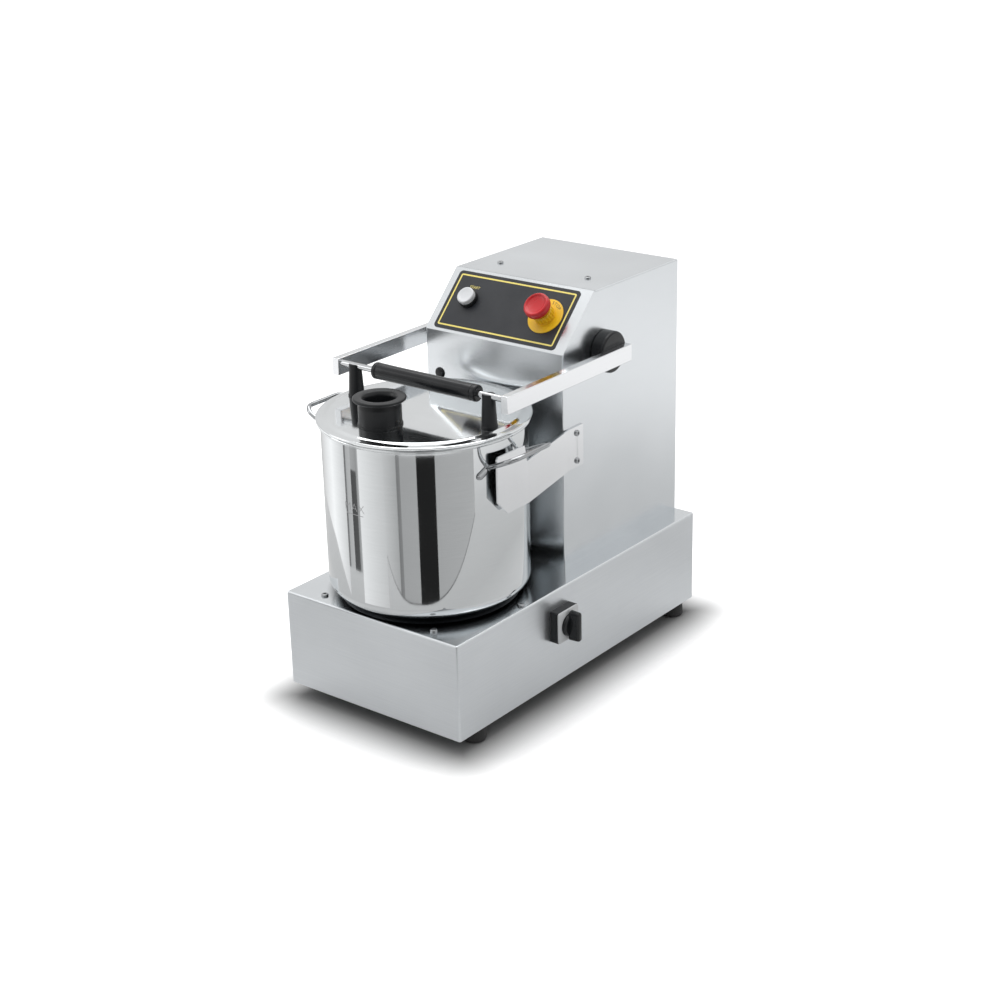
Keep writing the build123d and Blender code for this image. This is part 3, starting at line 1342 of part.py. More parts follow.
def lid_gasket():
    """Silicone ring under the lid's shoulder, with a lip that enters the bowl."""
    top = LID_TOP - LID_T
    seat = BOWL_RIM_Z + AIR
    wall_in = BOWL_R - BOWL_WALL
    ring = turned(
        [
            (LID_FLAT_R + 1, top - 0.6),
            (LID_FLAT_R + 1, seat),
            (wall_in - 3.5, seat - GASKET_LIP),
            (wall_in - 2.0, seat - GASKET_LIP),
            (wall_in - 1.5, seat),
            (LID_R - LID_T - 0.3, seat),
            (LID_R - LID_T - 0.3, top - 3.1),
            (LID_FLAT_R + 6, top - 2.4),
        ],
        y=BOWL_Y,
    )
    return ring


def feed_chute():
    """Round feed chute with a flange on top and a clamping collar under the lid."""
    low = LID_TOP - LID_T - CHUTE_DROP
    under = LID_TOP - LID_T
    tube = turned(
        [
            (CHUTE_BORE_R, low),
            (CHUTE_R - 2, low),
            (CHUTE_R, low + 4),
            (CHUTE_R, under - 6),
            (CHUTE_R + 6, under - 6),
            (CHUTE_R + 6, under - AIR / 3),
            (CHUTE_R, under - AIR / 3),
            (CHUTE_R, CHUTE_TOP - CHUTE_FLANGE_T - 6),
            (CHUTE_R - 1.5, CHUTE_TOP - CHUTE_FLANGE_T - 3),
            (CHUTE_R - 1.5, CHUTE_TOP - CHUTE_FLANGE_T),
            (CHUTE_FLANGE_R - 1, CHUTE_TOP - CHUTE_FLANGE_T),
            (CHUTE_FLANGE_R, CHUTE_TOP - CHUTE_FLANGE_T + 1),
            (CHUTE_FLANGE_R, CHUTE_TOP - 1.5),
            (CHUTE_FLANGE_R - 1.5, CHUTE_TOP),
            (CHUTE_BORE_R + 1, CHUTE_TOP),
            (CHUTE_BORE_R, CHUTE_TOP - 1),
        ],
        CHUTE_X,
        CHUTE_Y,
    )
    return tube


def lid_post(side):
    """Tapered post between the lid and the handle rod, saddled under the rod."""
    post = turned(
        [(0, LID_TOP), (POST_FOOT_R, LID_TOP), (POST_TOP_R, HANDLE_ROD_Z), (0, HANDLE_ROD_Z)],
        side * POST_X,
        ROD_Y,
    )
    post -= crosswise(HANDLE_ROD_R, -BASE_W, BASE_W, ROD_Y, HANDLE_ROD_Z)
    post -= upright(POST_SCREW_R, LID_TOP - 1, HANDLE_ROD_Z, side * POST_X, ROD_Y)
    return post


def post_screws():
    """Screws from under the lid, up through the posts into the rod."""
    reach = HANDLE_ROD_Z - LID_TOP + LID_T
    screw = Rot(180, 0, 0) * pan_screw(POST_SCREW_R, reach, M5_HEAD_R, M5_HEAD_H)
    return group([Pos(sx * POST_X, ROD_Y, LID_TOP - LID_T) * screw for sx in (-1, 1)])


def lid_handle_rod():
    """Round rod across the arms."""
    rod = crosswise(HANDLE_ROD_R, -ARM_IN_X - ROD_IN_ARM, ARM_IN_X + ROD_IN_ARM, ROD_Y, HANDLE_ROD_Z)
    for sx in (-1, 1):
        rod -= upright(POST_SCREW_R, LID_TOP, HANDLE_ROD_Z, sx * POST_X, ROD_Y)
    return rod


ROD_IN_ARM = 7.0
SHAFT_IN_ARM = 8.0


def lid_grip():
    """Tube grip on the rod with a ring at each end."""
    tube = crosswise(GRIP_R, GRIP_LEFT, GRIP_RIGHT, ROD_Y, HANDLE_ROD_Z)
    tube = fillet(tube.edges().filter_by(GeomType.CIRCLE), 2.0)
    for x in (GRIP_LEFT + 6.0, GRIP_RIGHT - 7.5):
        groove = crosswise(GRIP_R + 1, x, x + 1.5, ROD_Y, HANDLE_ROD_Z)
        groove -= crosswise(GRIP_R - 0.8, x - 1, x + 3, ROD_Y, HANDLE_ROD_Z)
        tube -= groove
    tube -= crosswise(HANDLE_ROD_R, GRIP_LEFT - 1, GRIP_RIGHT + 1, ROD_Y, HANDLE_ROD_Z)
    return tube


def lid_arm(side):
    """Flat bar from the pivot to the handle rod."""
    y = (BASE_Y0 + ARM_FRONT, PIVOT_Y + ARM_TAIL)
    bar = block((ARM_IN_X, ARM_OUT_X), y, (ARM_TOP - ARM_H, ARM_TOP))
    bar = fillet(bar.edges(), 1.0)
    bar -= crosswise(HANDLE_ROD_R, ARM_IN_X - 1, ARM_IN_X + ROD_IN_ARM, ROD_Y, HANDLE_ROD_Z)
    bar -= crosswise(PIVOT_SHAFT_R, ARM_IN_X - 1, ARM_IN_X + SHAFT_IN_ARM, PIVOT_Y, PIVOT_Z)
    return bar if side > 0 else mirror(bar, Plane.YZ)


def pivot_hub(side):
    """Black spacer disc between the column and the arm."""
    x0 = COLUMN_W / 2 + AIR
    disc = crosswise(HUB_R, x0, ARM_IN_X, PIVOT_Y, PIVOT_Z)
    disc = fillet(disc.edges().filter_by(GeomType.CIRCLE), 1.5)
    disc -= crosswise(PIVOT_SHAFT_R, 0, BASE_W, PIVOT_Y, PIVOT_Z)
    return disc if side > 0 else mirror(disc, Plane.YZ)


def pivot_shaft():
    """Shaft through the column that both arms are fixed to."""
    reach = ARM_IN_X + SHAFT_IN_ARM
    return crosswise(PIVOT_SHAFT_R, -reach, reach, PIVOT_Y, PIVOT_Z)


# ---------------------------------------------------------------- all the pieces
def build():
    """Every node by name."""
    return {
        "base_housing": base_housing(),
        "base_bottom_cover": base_bottom_cover(),
        "rubber_feet": rubber_feet(),
        "foot_bolts": foot_bolts(),
        "bearing_plate": bearing_plate(),
        "bearing_plate_screws": bearing_plate_screws(),
        "bearing_housing": bearing_housing(),
        "spindle_bearings": spindle_bearings(),
        "shaft_seal": shaft_seal(),
        "hex_bolts": hex_bolts(),
        "motor_plate": motor_plate(),
        "motor": motor(),
        "motor_shaft": motor_shaft(),
        "motor_pulley": ribbed_pulley(MOTOR_PULLEY_R, MOTOR_SHAFT_R, MOTOR_Y),
        "drive_belt": drive_belt(),
        "spindle_pulley": ribbed_pulley(PULLEY_R, SPINDLE_R, BOWL_Y),
        "spindle": spindle(),
        "bowl": bowl(),
        "bowl_centre_tube": bowl_centre_tube(),
        "bowl_handle_right": bowl_handle(1),
        "bowl_handle_left": bowl_handle(-1),
        "bowl_bracket": bowl_bracket(),
        "knife_hub": knife_hub(),
        "knife_lower": sickle_knife(KNIFE_Z, LOWER_KNIFE_TURN, KNIFE_SEAT_R),
        "knife_upper": sickle_knife(KNIFE_Z + KNIFE_T + KNIFE_GAP, LOWER_KNIFE_TURN + 90.0, UPPER_SEAT_R),
        "knife_spacers": knife_spacers(),
        "knife_hand_nut": knife_hand_nut(),
        "column_shell": column_shell(),
        "column_rear_cover": column_rear_cover(),
        "column_screws": column_screws(),
        "column_plug": column_plug(),
        "pivot_bushes": pivot_bushes(),
        "lid_sensor": lid_sensor(),
        "contactor": contactor(),
        "control_label": control_label(),
        "start_button_bezel": start_button_bezel(),
        "start_button": start_button(),
        "estop_legend_disc": estop_legend_disc(),
        "estop_collar": estop_collar(),
        "estop_stem": estop_stem(),
        "estop_mushroom": estop_mushroom(),
        "contact_blocks": contact_blocks(),
        "cam_switch_body": cam_switch_body(),
        "cam_switch_plate": cam_switch_plate(),
        "cam_switch_knob": cam_switch_knob(),
        "cable_gland": cable_gland(),
        "lid": lid(),
        "lid_gasket": lid_gasket(),
        "feed_chute": feed_chute(),
        "lid_post_left": lid_post(-1),
        "lid_post_right": lid_post(1),
        "post_screws": post_screws(),
        "lid_handle_rod": lid_handle_rod(),
        "lid_grip": lid_grip(),
        "lid_arm_left": lid_arm(-1),
        "lid_arm_right": lid_arm(1),
        "pivot_hub_left": pivot_hub(-1),
        "pivot_hub_right": pivot_hub(1),
        "pivot_shaft": pivot_shaft(),
        "magnet_disc": magnet_disc(),
    }


if __name__ == "__main__":
    os.makedirs("parts", exist_ok=True)
    PARTS = build()
    for name, shape in PARTS.items():
        export_step(shape, f"parts/{name}.step")
    print(len(PARTS), "nodes")
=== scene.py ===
# %% [markdown]
# # A tabletop bowl cutter, dressed in Blender
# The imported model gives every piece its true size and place. This lesson keeps that frame and
# builds the looks round it: turned steel and rubber as smooth surfaces of revolution, wire as a
# profile carried along a path, folded sheet with a brushed grain, and moulded plastic.
# Everything is in metres, +Z is up and the operator stands on the -Y side.

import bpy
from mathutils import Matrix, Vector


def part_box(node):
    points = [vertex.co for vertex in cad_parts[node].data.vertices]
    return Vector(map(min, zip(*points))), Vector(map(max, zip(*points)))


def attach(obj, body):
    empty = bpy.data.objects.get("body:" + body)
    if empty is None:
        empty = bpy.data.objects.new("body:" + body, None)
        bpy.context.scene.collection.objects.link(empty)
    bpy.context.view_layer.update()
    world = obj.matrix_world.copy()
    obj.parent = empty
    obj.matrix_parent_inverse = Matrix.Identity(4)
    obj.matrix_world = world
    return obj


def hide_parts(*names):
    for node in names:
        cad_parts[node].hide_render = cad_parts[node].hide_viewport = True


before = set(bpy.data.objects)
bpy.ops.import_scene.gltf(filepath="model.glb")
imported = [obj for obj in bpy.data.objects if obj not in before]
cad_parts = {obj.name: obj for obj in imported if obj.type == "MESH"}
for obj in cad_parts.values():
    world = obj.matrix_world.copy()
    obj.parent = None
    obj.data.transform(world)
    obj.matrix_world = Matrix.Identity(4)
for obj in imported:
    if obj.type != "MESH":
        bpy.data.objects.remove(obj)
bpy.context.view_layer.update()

import math

import bmesh
import bpy
import numpy as np
from mathutils import Matrix, Vector

MM = 0.001
TURN = 2.0 * math.pi

# %% [markdown]
# ## Reading places from the model
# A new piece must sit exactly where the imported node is. The corners of a node's box give its
# middle and its ends, so the pieces below take their places from there, not from typed copies.

# %% Places that several pieces share
def low_high(node):
    """Lowest and highest corner of a node's box, in millimetres."""
    low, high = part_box(node)
    return np.array(low) / MM, np.array(high) / MM


def middle(node):
    """Middle of a node's box, in millimetres."""
    low, high = low_high(node)
    return (low + high) / 2


BOWL = middle("bowl_centre_tube")
PIVOT = middle("pivot_shaft")
ROD = middle("lid_handle_rod")
print("bowl axis", BOWL.round(1), "pivot", PIVOT.round(1), "rod", ROD.round(1))

# %% [markdown]
# ## From a grid of points to a skin
# Every new shape here is a function of two parameters, worked out on a grid as one array. The
# skin helper joins neighbouring grid points into four-sided faces, welds points that fall
# together at a pole or a seam, and turns all faces outwards. Smooth shading with a sharp-edge
# angle then keeps a turned edge crisp and a wall round.

# %% The skin of a grid
WELD_M = 2e-6  # points nearer than this become one


def show(name, data):
    """Object for a mesh, a lamp or a camera, linked into the scene."""
    thing = bpy.data.objects.new(name, data)
    bpy.context.scene.collection.objects.link(thing)
    return thing


def skin(name, grid, ring=False, crease=32.0, around=True):
    """Mesh over grid[i, j] = point(u_i, v_j), smooth up to the crease angle in degrees. around
    joins the last column to the first, and ring joins the last row to the first."""
    rows, cols = grid.shape[:2]
    i = np.arange(rows if ring else rows - 1)
    j = np.arange(cols if around else cols - 1)
    i, j = np.meshgrid(i, j, indexing="ij")
    i2, j2 = (i + 1) % rows, (j + 1) % cols
    faces = np.stack([i * cols + j, i * cols + j2, i2 * cols + j2, i2 * cols + j], -1)
    mesh = bpy.data.meshes.new(name)
    mesh.from_pydata((grid.reshape(-1, 3) * MM).tolist(), [], faces.reshape(-1, 4).tolist())
    work = bmesh.new()
    work.from_mesh(mesh)
    bmesh.ops.remove_doubles(work, verts=work.verts, dist=WELD_M)
    bmesh.ops.dissolve_degenerate(work, edges=work.edges, dist=1e-7)
    bmesh.ops.recalc_face_normals(work, faces=work.faces)
    work.to_mesh(mesh)
    work.free()
    mesh.shade_smooth()
    mesh.set_sharp_from_angle(angle=math.radians(crease))
    return show(name, mesh)


# %% [markdown]
# ## Turned pieces
# A lathe turns a profile of (radius, height) points about an axis: point(u, v) is the profile
# point u swung round by the angle v. Real turned or moulded corners are never dead sharp, so
# the profile's corners are eased first, each with a short curve that leaves one side and joins
# the next. Those narrow curves are what catches the light along an edge.

# %% Eased corners and the lathe
def eased(points, steps, ring=False):
    """Profile from (r, h, cut) points. A corner P with a cut becomes the curve
    (1-t)^2 A + 2t(1-t) P + t^2 B between points A and B, cut back along its two sides."""
    corners, cuts = np.split(np.array(points, float), [2], axis=1)
    count = len(corners)
    t = np.linspace(0, 1, steps + 1)[:, None]
    out = []
    for k, here in enumerate(corners):
        if cuts[k, 0] <= 0 or (not ring and k in (0, count - 1)):
            out.append(here[None])
            continue
        back, ahead = corners[k - 1] - here, corners[(k + 1) % count] - here
        reach = min(cuts[k, 0], 0.48 * np.linalg.norm(back), 0.48 * np.linalg.norm(ahead))
        a = here + back / np.linalg.norm(back) * reach
        b = here + ahead / np.linalg.norm(ahead) * reach
        out.append((1 - t) ** 2 * a + 2 * t * (1 - t) * here + t ** 2 * b)
    return np.concatenate(out)


def lathe_grid(profile, segments):
    """Grid of a profile turned about +Z: (r cos v, r sin v, h)."""
    v = np.linspace(0, TURN, segments, endpoint=False)
    r, h = profile[:, :1], profile[:, 1:2]
    return np.stack([r * np.cos(v), r * np.sin(v), h + 0 * v], -1)


def lathe(points, steps, segments, ring=False):
    """Grid of a profile that is eased first."""
    return lathe_grid(eased(points, steps, ring), segments)


def at_height(plan, height):
    """Plan points (x, y) given one height, or one height a row."""
    return np.concatenate([plan, np.broadcast_to(height, plan.shape[:-1] + (1,))], -1)


def placed(grid, origin, x_dir=(1, 0, 0), z_dir=(0, 0, 1)):
    """Carry a local grid into the frame: local Z goes to z_dir, local X to x_dir."""
    z = np.array(z_dir, float) / np.linalg.norm(z_dir)
    x = np.array(x_dir, float)
    x = x - z * (x @ z)
    x = x / np.linalg.norm(x)
    return grid @ np.stack([x, np.cross(z, x), z]) + np.array(origin, float)


# %% [markdown]
# ## Shader groups for effects that come back
# Steel sheet is rolled and then brushed, so it carries long thin scratches that run with the
# sheet, and a cloudy unevenness that only shows in soft reflections. Moulded plastic has a fine
# spark-eroded skin. Each effect is a node group with named inputs and outputs, and each
# material then mixes it in with its own values.

# %% Helpers for shader nodes
def add(tree, kind, links=(), **values):
    """New shader node; links are (input, socket or value) pairs and values set its properties."""
    node = tree.nodes.new("ShaderNode" + kind)
    for key, value in values.items():
        setattr(node, key, value)
    for into, source in links:
        if hasattr(source, "is_linked"):
            tree.links.new(source, node.inputs[into])
        else:
            node.inputs[into].default_value = source
    return node


def sums(tree, operation, a, b=0.0):
    """Output of one Math node."""
    return add(tree, "Math", [(0, a), (1, b)], operation=operation).outputs[0]


def vectors(tree, operation, a, b=(0, 0, 0)):
    """Output of one Vector Math node: a number for a length or a dot product, else a vector."""
    node = add(tree, "VectorMath", [(0, a), (1, b)], operation=operation)
    return node.outputs["Value" if operation in ("LENGTH", "DOT_PRODUCT") else "Vector"]


def ranged(tree, value, low, high, to_low=0.0, to_high=1.0, smooth=False):
    """Value carried from low..high to to_low..to_high and clamped, evenly or with a soft start."""
    links = [(0, value), ("From Min", low), ("From Max", high), ("To Min", to_low), ("To Max", to_high)]
    kind = "SMOOTHSTEP" if smooth else "LINEAR"
    return add(tree, "MapRange", links, clamp=True, interpolation_type=kind).outputs[0]


def mixed(tree, factor, a, b):
    """Number between a and b."""
    return add(tree, "Mix", [("Factor", factor), ("A", a), ("B", b)]).outputs["Result"]


def tinted(tree, factor, a, b):
    """Colour between the tone a and b, which is a tone or a socket."""
    b = b if hasattr(b, "is_linked") else (*b, 1)
    return add(tree, "Mix", [(0, factor), (6, (*a, 1)), (7, b)], data_type="RGBA").outputs[2]


def noise(tree, where, scale, detail, distortion=0.0):
    """Value of a noise texture at a place."""
    links = [("Vector", where), ("Scale", scale), ("Detail", detail), ("Distortion", distortion)]
    return add(tree, "TexNoise", links).outputs["Fac"]


def fresh(data):
    """Empty node tree of a material or a world."""
    data.use_nodes = True
    data.node_tree.nodes.clear()
    return data.node_tree


def group_of(name, inputs, make):
    """Node group with number inputs; make(tree, place, inputs) gives its outputs by name."""
    tree = bpy.data.node_groups.new(name, "ShaderNodeTree")
    for label, default in inputs.items():
        socket = tree.interface.new_socket(label, in_out="INPUT", socket_type="NodeSocketFloat")
        socket.default_value = default
    inside = tree.nodes.new("NodeGroupInput").outputs
    outputs = make(tree, add(tree, "TexCoord").outputs["Object"], inside)
    for label in outputs:
        tree.interface.new_socket(label, in_out="OUTPUT", socket_type="NodeSocketFloat")
    outside = tree.nodes.new("NodeGroupOutput")
    for label, value in outputs.items():
        tree.links.new(value, outside.inputs[label])
    return tree


# %% Sheet grain: long scratches along the sheet, whichever way a face looks
def sheet_grain(tree, place, inputs):
    """Scratch = noise squeezed across one direction, which follows the face's normal. Cloud =
    broad noise. Top = 1 on faces that look up or down."""
    normal = add(tree, "NewGeometry").outputs["Normal"]
    upright = sums(tree, "ABSOLUTE", add(tree, "SeparateXYZ", [(0, normal)]).outputs["Z"])
    top = sums(tree, "GREATER_THAN", upright, 0.85)
    fast = inputs["Scale"]
    slow = sums(tree, "DIVIDE", fast, inputs["Length"])
    grains = []
    for scales in ((slow, slow, fast), (fast, slow, slow)):
        scale = add(tree, "CombineXYZ", list(enumerate(scales))).outputs[0]
        grains.append(noise(tree, vectors(tree, "MULTIPLY", place, scale), 1.0, 3.0))
    return {"Scratch": mixed(tree, top, *grains), "Cloud": noise(tree, place, 9.0, 4.0), "Top": top}


SHEET_GRAIN = group_of("sheet_grain", {"Scale": 900.0, "Length": 60.0}, sheet_grain)


# %% Polish marks: what a buffing wheel and fingers leave on bright steel
def polish_marks(tree, place, inputs):
    """Smear = large soft noise; Hair = very fine noise drawn out along the wheel's path."""
    drawn_out = vectors(tree, "MULTIPLY", place, (0.04, 0.04, 1.0))
    return {"Smear": noise(tree, place, inputs["Smear scale"], 5.0, 0.6),
            "Hair": noise(tree, drawn_out, inputs["Hair scale"], 2.0)}


POLISH_MARKS = group_of("polish_marks", {"Smear scale": 14.0, "Hair scale": 700.0}, polish_marks)


# %% Moulded skin: the fine grain that a spark-eroded mould leaves
def moulded_skin(tree, place, inputs):
    """Skin = fine noise; Wear = broad noise that dulls or shines what hands touch."""
    return {"Skin": noise(tree, place, inputs["Grain"], 2.0),
            "Wear": noise(tree, place, inputs["Patch"], 4.0)}


MOULDED_SKIN = group_of("moulded_skin", {"Grain": 2200.0, "Patch": 30.0}, moulded_skin)


# %% Seat shade: the dark ring where the bowl stands close over the base
def seat_shade(tree, place, inputs):
    """Clear = smoothstep of the distance from the bowl's axis, 0 under the wall and 1 outside,
    and 1 everywhere below the base's top."""
    from_axis = vectors(tree, "SUBTRACT", place, (BOWL[0] * MM, BOWL[1] * MM, 0.0))
    away = vectors(tree, "LENGTH", vectors(tree, "MULTIPLY", from_axis, (1.0, 1.0, 0.0)))
    clear = ranged(tree, away, inputs["Dark to"], inputs["Clear from"], smooth=True)
    height = add(tree, "SeparateXYZ", [(0, place)]).outputs["Z"]
    foot = inputs["Foot"]
    below = ranged(tree, height, foot, sums(tree, "ADD", foot, 0.0015), 1.0, 0.0)
    return {"Clear": sums(tree, "MAXIMUM", clear, below)}


SEAT_SHADE = group_of("seat_shade", {"Dark to": 0.129, "Clear from": 0.152, "Foot": 0.1675}, seat_shade)
SHADED_TONE = (0.045, 0.048, 0.052)
print("shader groups:", [g.name for g in bpy.data.node_groups if g.type == "SHADER"])

# %% [markdown]
# ## Materials
# A material here is always the same sentence: two tones of one colour mixed by a pattern, a
# roughness that wanders between two values, and a shallow bump. What is the same all over the
# surface, such as metalness, is set on the shader's own socket.

# %% One recipe for all surfaces
BLEND_SPAN, CLOUD_SPAN = (0.32, 0.68), (0.3, 0.7)  # where a noise mostly stays


def surface(name, pattern, tones, rough, bump, metal=0.0, inputs=(), finer_top=0.0, shade=None,
            **fixed):
    """Base Color = mix(tones), Roughness = range(rough), Normal = bump of the fine pattern.
    finer_top takes some roughness off faces that look up, and shade is a group that darkens."""
    material = bpy.data.materials.new(name)
    tree = fresh(material)
    group, fine, broad = pattern
    effect = add(tree, "Group", inputs, node_tree=group).outputs
    blend = sums(tree, "ADD", *(sums(tree, "MULTIPLY", effect[o], 0.5) for o in (fine, broad)))
    colour = tinted(tree, ranged(tree, blend, *BLEND_SPAN), *tones)
    if shade:
        colour = tinted(tree, add(tree, "Group", node_tree=shade).outputs[0], SHADED_TONE, colour)
    roughness = ranged(tree, effect[broad], *CLOUD_SPAN, *rough)
    if finer_top:
        less = sums(tree, "MULTIPLY", effect["Top"], finer_top)
        roughness = sums(tree, "SUBTRACT", roughness, less)
    height = [("Height", effect[fine]), ("Strength", bump[0]), ("Distance", bump[1] * MM)]
    links = {"Metallic": metal, "Base Color": colour, "Roughness": roughness,
             "Normal": add(tree, "Bump", height).outputs[0]}
    links.update((key.replace("_", " "), value) for key, value in fixed.items())
    shader = add(tree, "BsdfPrincipled", links.items())
    add(tree, "OutputMaterial", [(0, shader.outputs[0])])
    return material


SHEET = (SHEET_GRAIN, "Scratch", "Cloud")
POLISH = (POLISH_MARKS, "Hair", "Smear")
MOULD = (MOULDED_SKIN, "Skin", "Wear")


def steel(name, tones, rough, bump=(0.1, 0.02), length=60.0, scale=900.0, **more):
    """Brushed or rolled stainless sheet."""
    inputs = (("Scale", scale), ("Length", length))
    return surface(name, SHEET, tones, rough, bump, 1.0, inputs, **more)


def polished(name, tones, rough, bump=(0.02, 0.01)):
    """Buffed stainless with faint hairlines and smears."""
    return surface(name, POLISH, tones, rough, bump, 1.0)


def plastic(name, tones, rough, bump=(0.12, 0.03), grain=2200.0, **fixed):
    """Moulded plastic or rubber."""
    return surface(name, MOULD, tones, rough, bump, 0.0, (("Grain", grain),), **fixed)


# %% The finishes of this machine: names, two tones, least and most roughness, bump
BRUSHED = ((0.69, 0.715, 0.735), (0.745, 0.77, 0.79))
PANEL = steel("panel_brushed", BRUSHED, (0.20, 0.27))
BASE_PANEL = steel("base_brushed", BRUSHED, (0.285, 0.345), (0.05, 0.01), finer_top=0.135,
                   shade=SEAT_SHADE)
BRIGHT_SHEET = steel("sheet_bright", ((0.80, 0.81, 0.825), (0.86, 0.87, 0.885)), (0.14, 0.20),
                     length=80.0)
MIRROR = polished("mirror_steel", ((0.70, 0.72, 0.73), (0.74, 0.76, 0.77)), (0.03, 0.07),
                  (0.004, 0.005))
SATIN = polished("satin_steel", ((0.74, 0.76, 0.77), (0.79, 0.81, 0.82)), (0.05, 0.09),
                 (0.006, 0.006))
DRAWN = polished("drawn_wire", ((0.50, 0.51, 0.52), (0.60, 0.61, 0.62)), (0.07, 0.14))
# The handles' wire is the rod's bright steel in a darker tone: painted shade that makes the loops read
# darker than the bracket behind them.
SHADED_WIRE = polished("bent_wire_painted_shade", ((0.36, 0.37, 0.38), (0.44, 0.45, 0.46)), (0.06, 0.11))
SCREW = polished("screw_steel", ((0.34, 0.35, 0.36), (0.46, 0.47, 0.48)), (0.18, 0.28))
BLADE = steel("ground_blade", ((0.62, 0.63, 0.64), (0.72, 0.73, 0.74)), (0.16, 0.26), scale=1400.0)
ZINC = surface("zinc_plated", MOULD, ((0.48, 0.49, 0.50), (0.62, 0.62, 0.60)), (0.3, 0.45),
               (0.1, 0.02), 1.0)
CAST = surface("cast_alloy", MOULD, ((0.42, 0.43, 0.44), (0.52, 0.53, 0.54)), (0.42, 0.6),
               (0.5, 0.15), 1.0, (("Grain", 700.0), ("Patch", 25.0)))
MACHINED = steel("machined_alloy", ((0.56, 0.57, 0.58), (0.64, 0.65, 0.66)), (0.25, 0.35),
                 scale=1200.0)
MOTOR_PAINT = plastic("motor_paint", ((0.09, 0.10, 0.11), (0.13, 0.14, 0.15)), (0.45, 0.6),
                      (0.3, 0.1), 500.0)
BLACK = plastic("black_moulding", ((0.007, 0.008, 0.009), (0.016, 0.017, 0.019)), (0.26, 0.40),
                Specular_IOR_Level=0.28)
GRIP_BLACK = plastic("grip_moulding", ((0.006, 0.007, 0.008), (0.014, 0.015, 0.017)),
                     (0.16, 0.28), Specular_IOR_Level=0.35)
RUBBER = plastic("foot_rubber", ((0.012, 0.012, 0.012), (0.030, 0.030, 0.031)), (0.6, 0.8),
                 (0.3, 0.08), 1200.0)
BELT = plastic("belt_rubber", ((0.010, 0.010, 0.010), (0.022, 0.022, 0.022)), (0.5, 0.7),
               (0.3, 0.08), 900.0)
SILICONE = plastic("seal_silicone", ((0.45, 0.46, 0.45), (0.56, 0.57, 0.56)), (0.45, 0.6))
FILM = plastic("label_film", ((0.016, 0.018, 0.022), (0.028, 0.030, 0.035)), (0.32, 0.42),
               (0.1, 0.01), 3000.0, Specular_IOR_Level=0.42)
PRINT_YELLOW = plastic("print_yellow", ((0.82, 0.68, 0.16), (0.90, 0.76, 0.21)), (0.35, 0.45),
                       (0.05, 0.01))
PRINT_BLACK = plastic("print_black", ((0.012, 0.012, 0.012), (0.020, 0.020, 0.020)), (0.4, 0.5),
                      (0.05, 0.01))
SIGNAL_YELLOW = plastic("signal_yellow", ((0.78, 0.46, 0.010), (0.86, 0.54, 0.020)), (0.28, 0.40))
SIGNAL_RED = plastic("signal_red", ((0.46, 0.006, 0.010), (0.58, 0.012, 0.018)), (0.26, 0.38))
CAP_WHITE = plastic("cap_white", ((0.62, 0.64, 0.66), (0.72, 0.73, 0.75)), (0.22, 0.32))
PALE_PLATE = plastic("pale_plate", ((0.55, 0.56, 0.57), (0.63, 0.64, 0.65)), (0.35, 0.48))
NYLON = plastic("natural_nylon", ((0.55, 0.53, 0.47), (0.63, 0.61, 0.55)), (0.4, 0.55))
GREY = plastic("device_grey", ((0.22, 0.23, 0.24), (0.30, 0.31, 0.32)), (0.4, 0.55))
print("materials:", len(bpy.data.materials))

# %% [markdown]
# ## Nodes that keep their own shape
# Folded boxes, plates, arms and the inner machinery are right as they come. They only need a
# finish. The table pairs each one with its material.

# %% Finish the nodes as they are
KEEP = {
    BASE_PANEL: ["base_housing", "base_bottom_cover"],
    PANEL: ["column_shell", "column_rear_cover"],
    BRIGHT_SHEET: ["bowl_bracket", "lid_arm_left", "lid_arm_right"],
    MIRROR: ["bowl_centre_tube"],
    SCREW: ["bearing_plate_screws", "column_screws"],
    DRAWN: ["knife_hub", "knife_spacers", "pivot_shaft", "spindle", "post_screws",
            "spindle_bearings"],
    BLADE: ["knife_lower", "knife_upper"],
    ZINC: ["foot_bolts", "bearing_plate", "hex_bolts", "motor_plate", "motor_shaft"],
    CAST: ["bearing_housing"],
    MACHINED: ["spindle_pulley", "motor_pulley"],
    MOTOR_PAINT: ["motor"],
    BLACK: ["cam_switch_body", "contact_blocks", "lid_sensor", "magnet_disc", "shaft_seal",
            "cable_gland"],
    BELT: ["drive_belt"],
    SILICONE: ["lid_gasket"],
    FILM: ["control_label"],
    NYLON: ["pivot_bushes"],
    PALE_PLATE: ["cam_switch_plate"],
    GREY: ["contactor", "estop_stem"],
}


def coat(piece, material):
    """One material over the whole piece."""
    piece.data.materials.clear()
    piece.data.materials.append(material)


for material, names in KEEP.items():
    for name in names:
        coat(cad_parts[name], material)
print("kept nodes:", sum(len(names) for names in KEEP.values()))


# %% Settle a new piece: its finish, its body and the node it stands for
def settle(piece, body, material, slot, *nodes):
    """Coat a piece, let it ride on a body and hide the nodes that it stands for."""
    coat(piece, material)
    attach(piece, body)
    if nodes:
        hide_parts(*nodes)
    return piece


def dress(name, grid, body, material, slot, *nodes, ring=False, crease=32.0):
    """Skin of a grid, settled at once."""
    return settle(skin(name, grid, ring, crease), body, material, slot, *nodes)


# %% [markdown]
# ## The bowl
# The bowl is deep drawn and then polished like a mirror, so its outline is everything: any flat
# facet would break the reflections. A lathe with many segments gives a true round wall. Its
# profile runs out along the floor, round the drawn corner, up the wall, over the rolled bead
# and back down inside. A Solidify on a single wall would not give the bead, so the profile
# carries both walls.

# %% Bowl wall with its rolled bead
bowl_low, bowl_high = low_high("bowl")
TUBE_R = np.ptp(low_high("bowl_centre_tube"), axis=0)[0] / 2
WALL_R, WALL_T = 145.0, 1.5
CORNER_R, BEAD_R = 20.0, 2.8
FLOOR_Z = bowl_low[2]
BEAD_Z = bowl_high[2] - BEAD_R


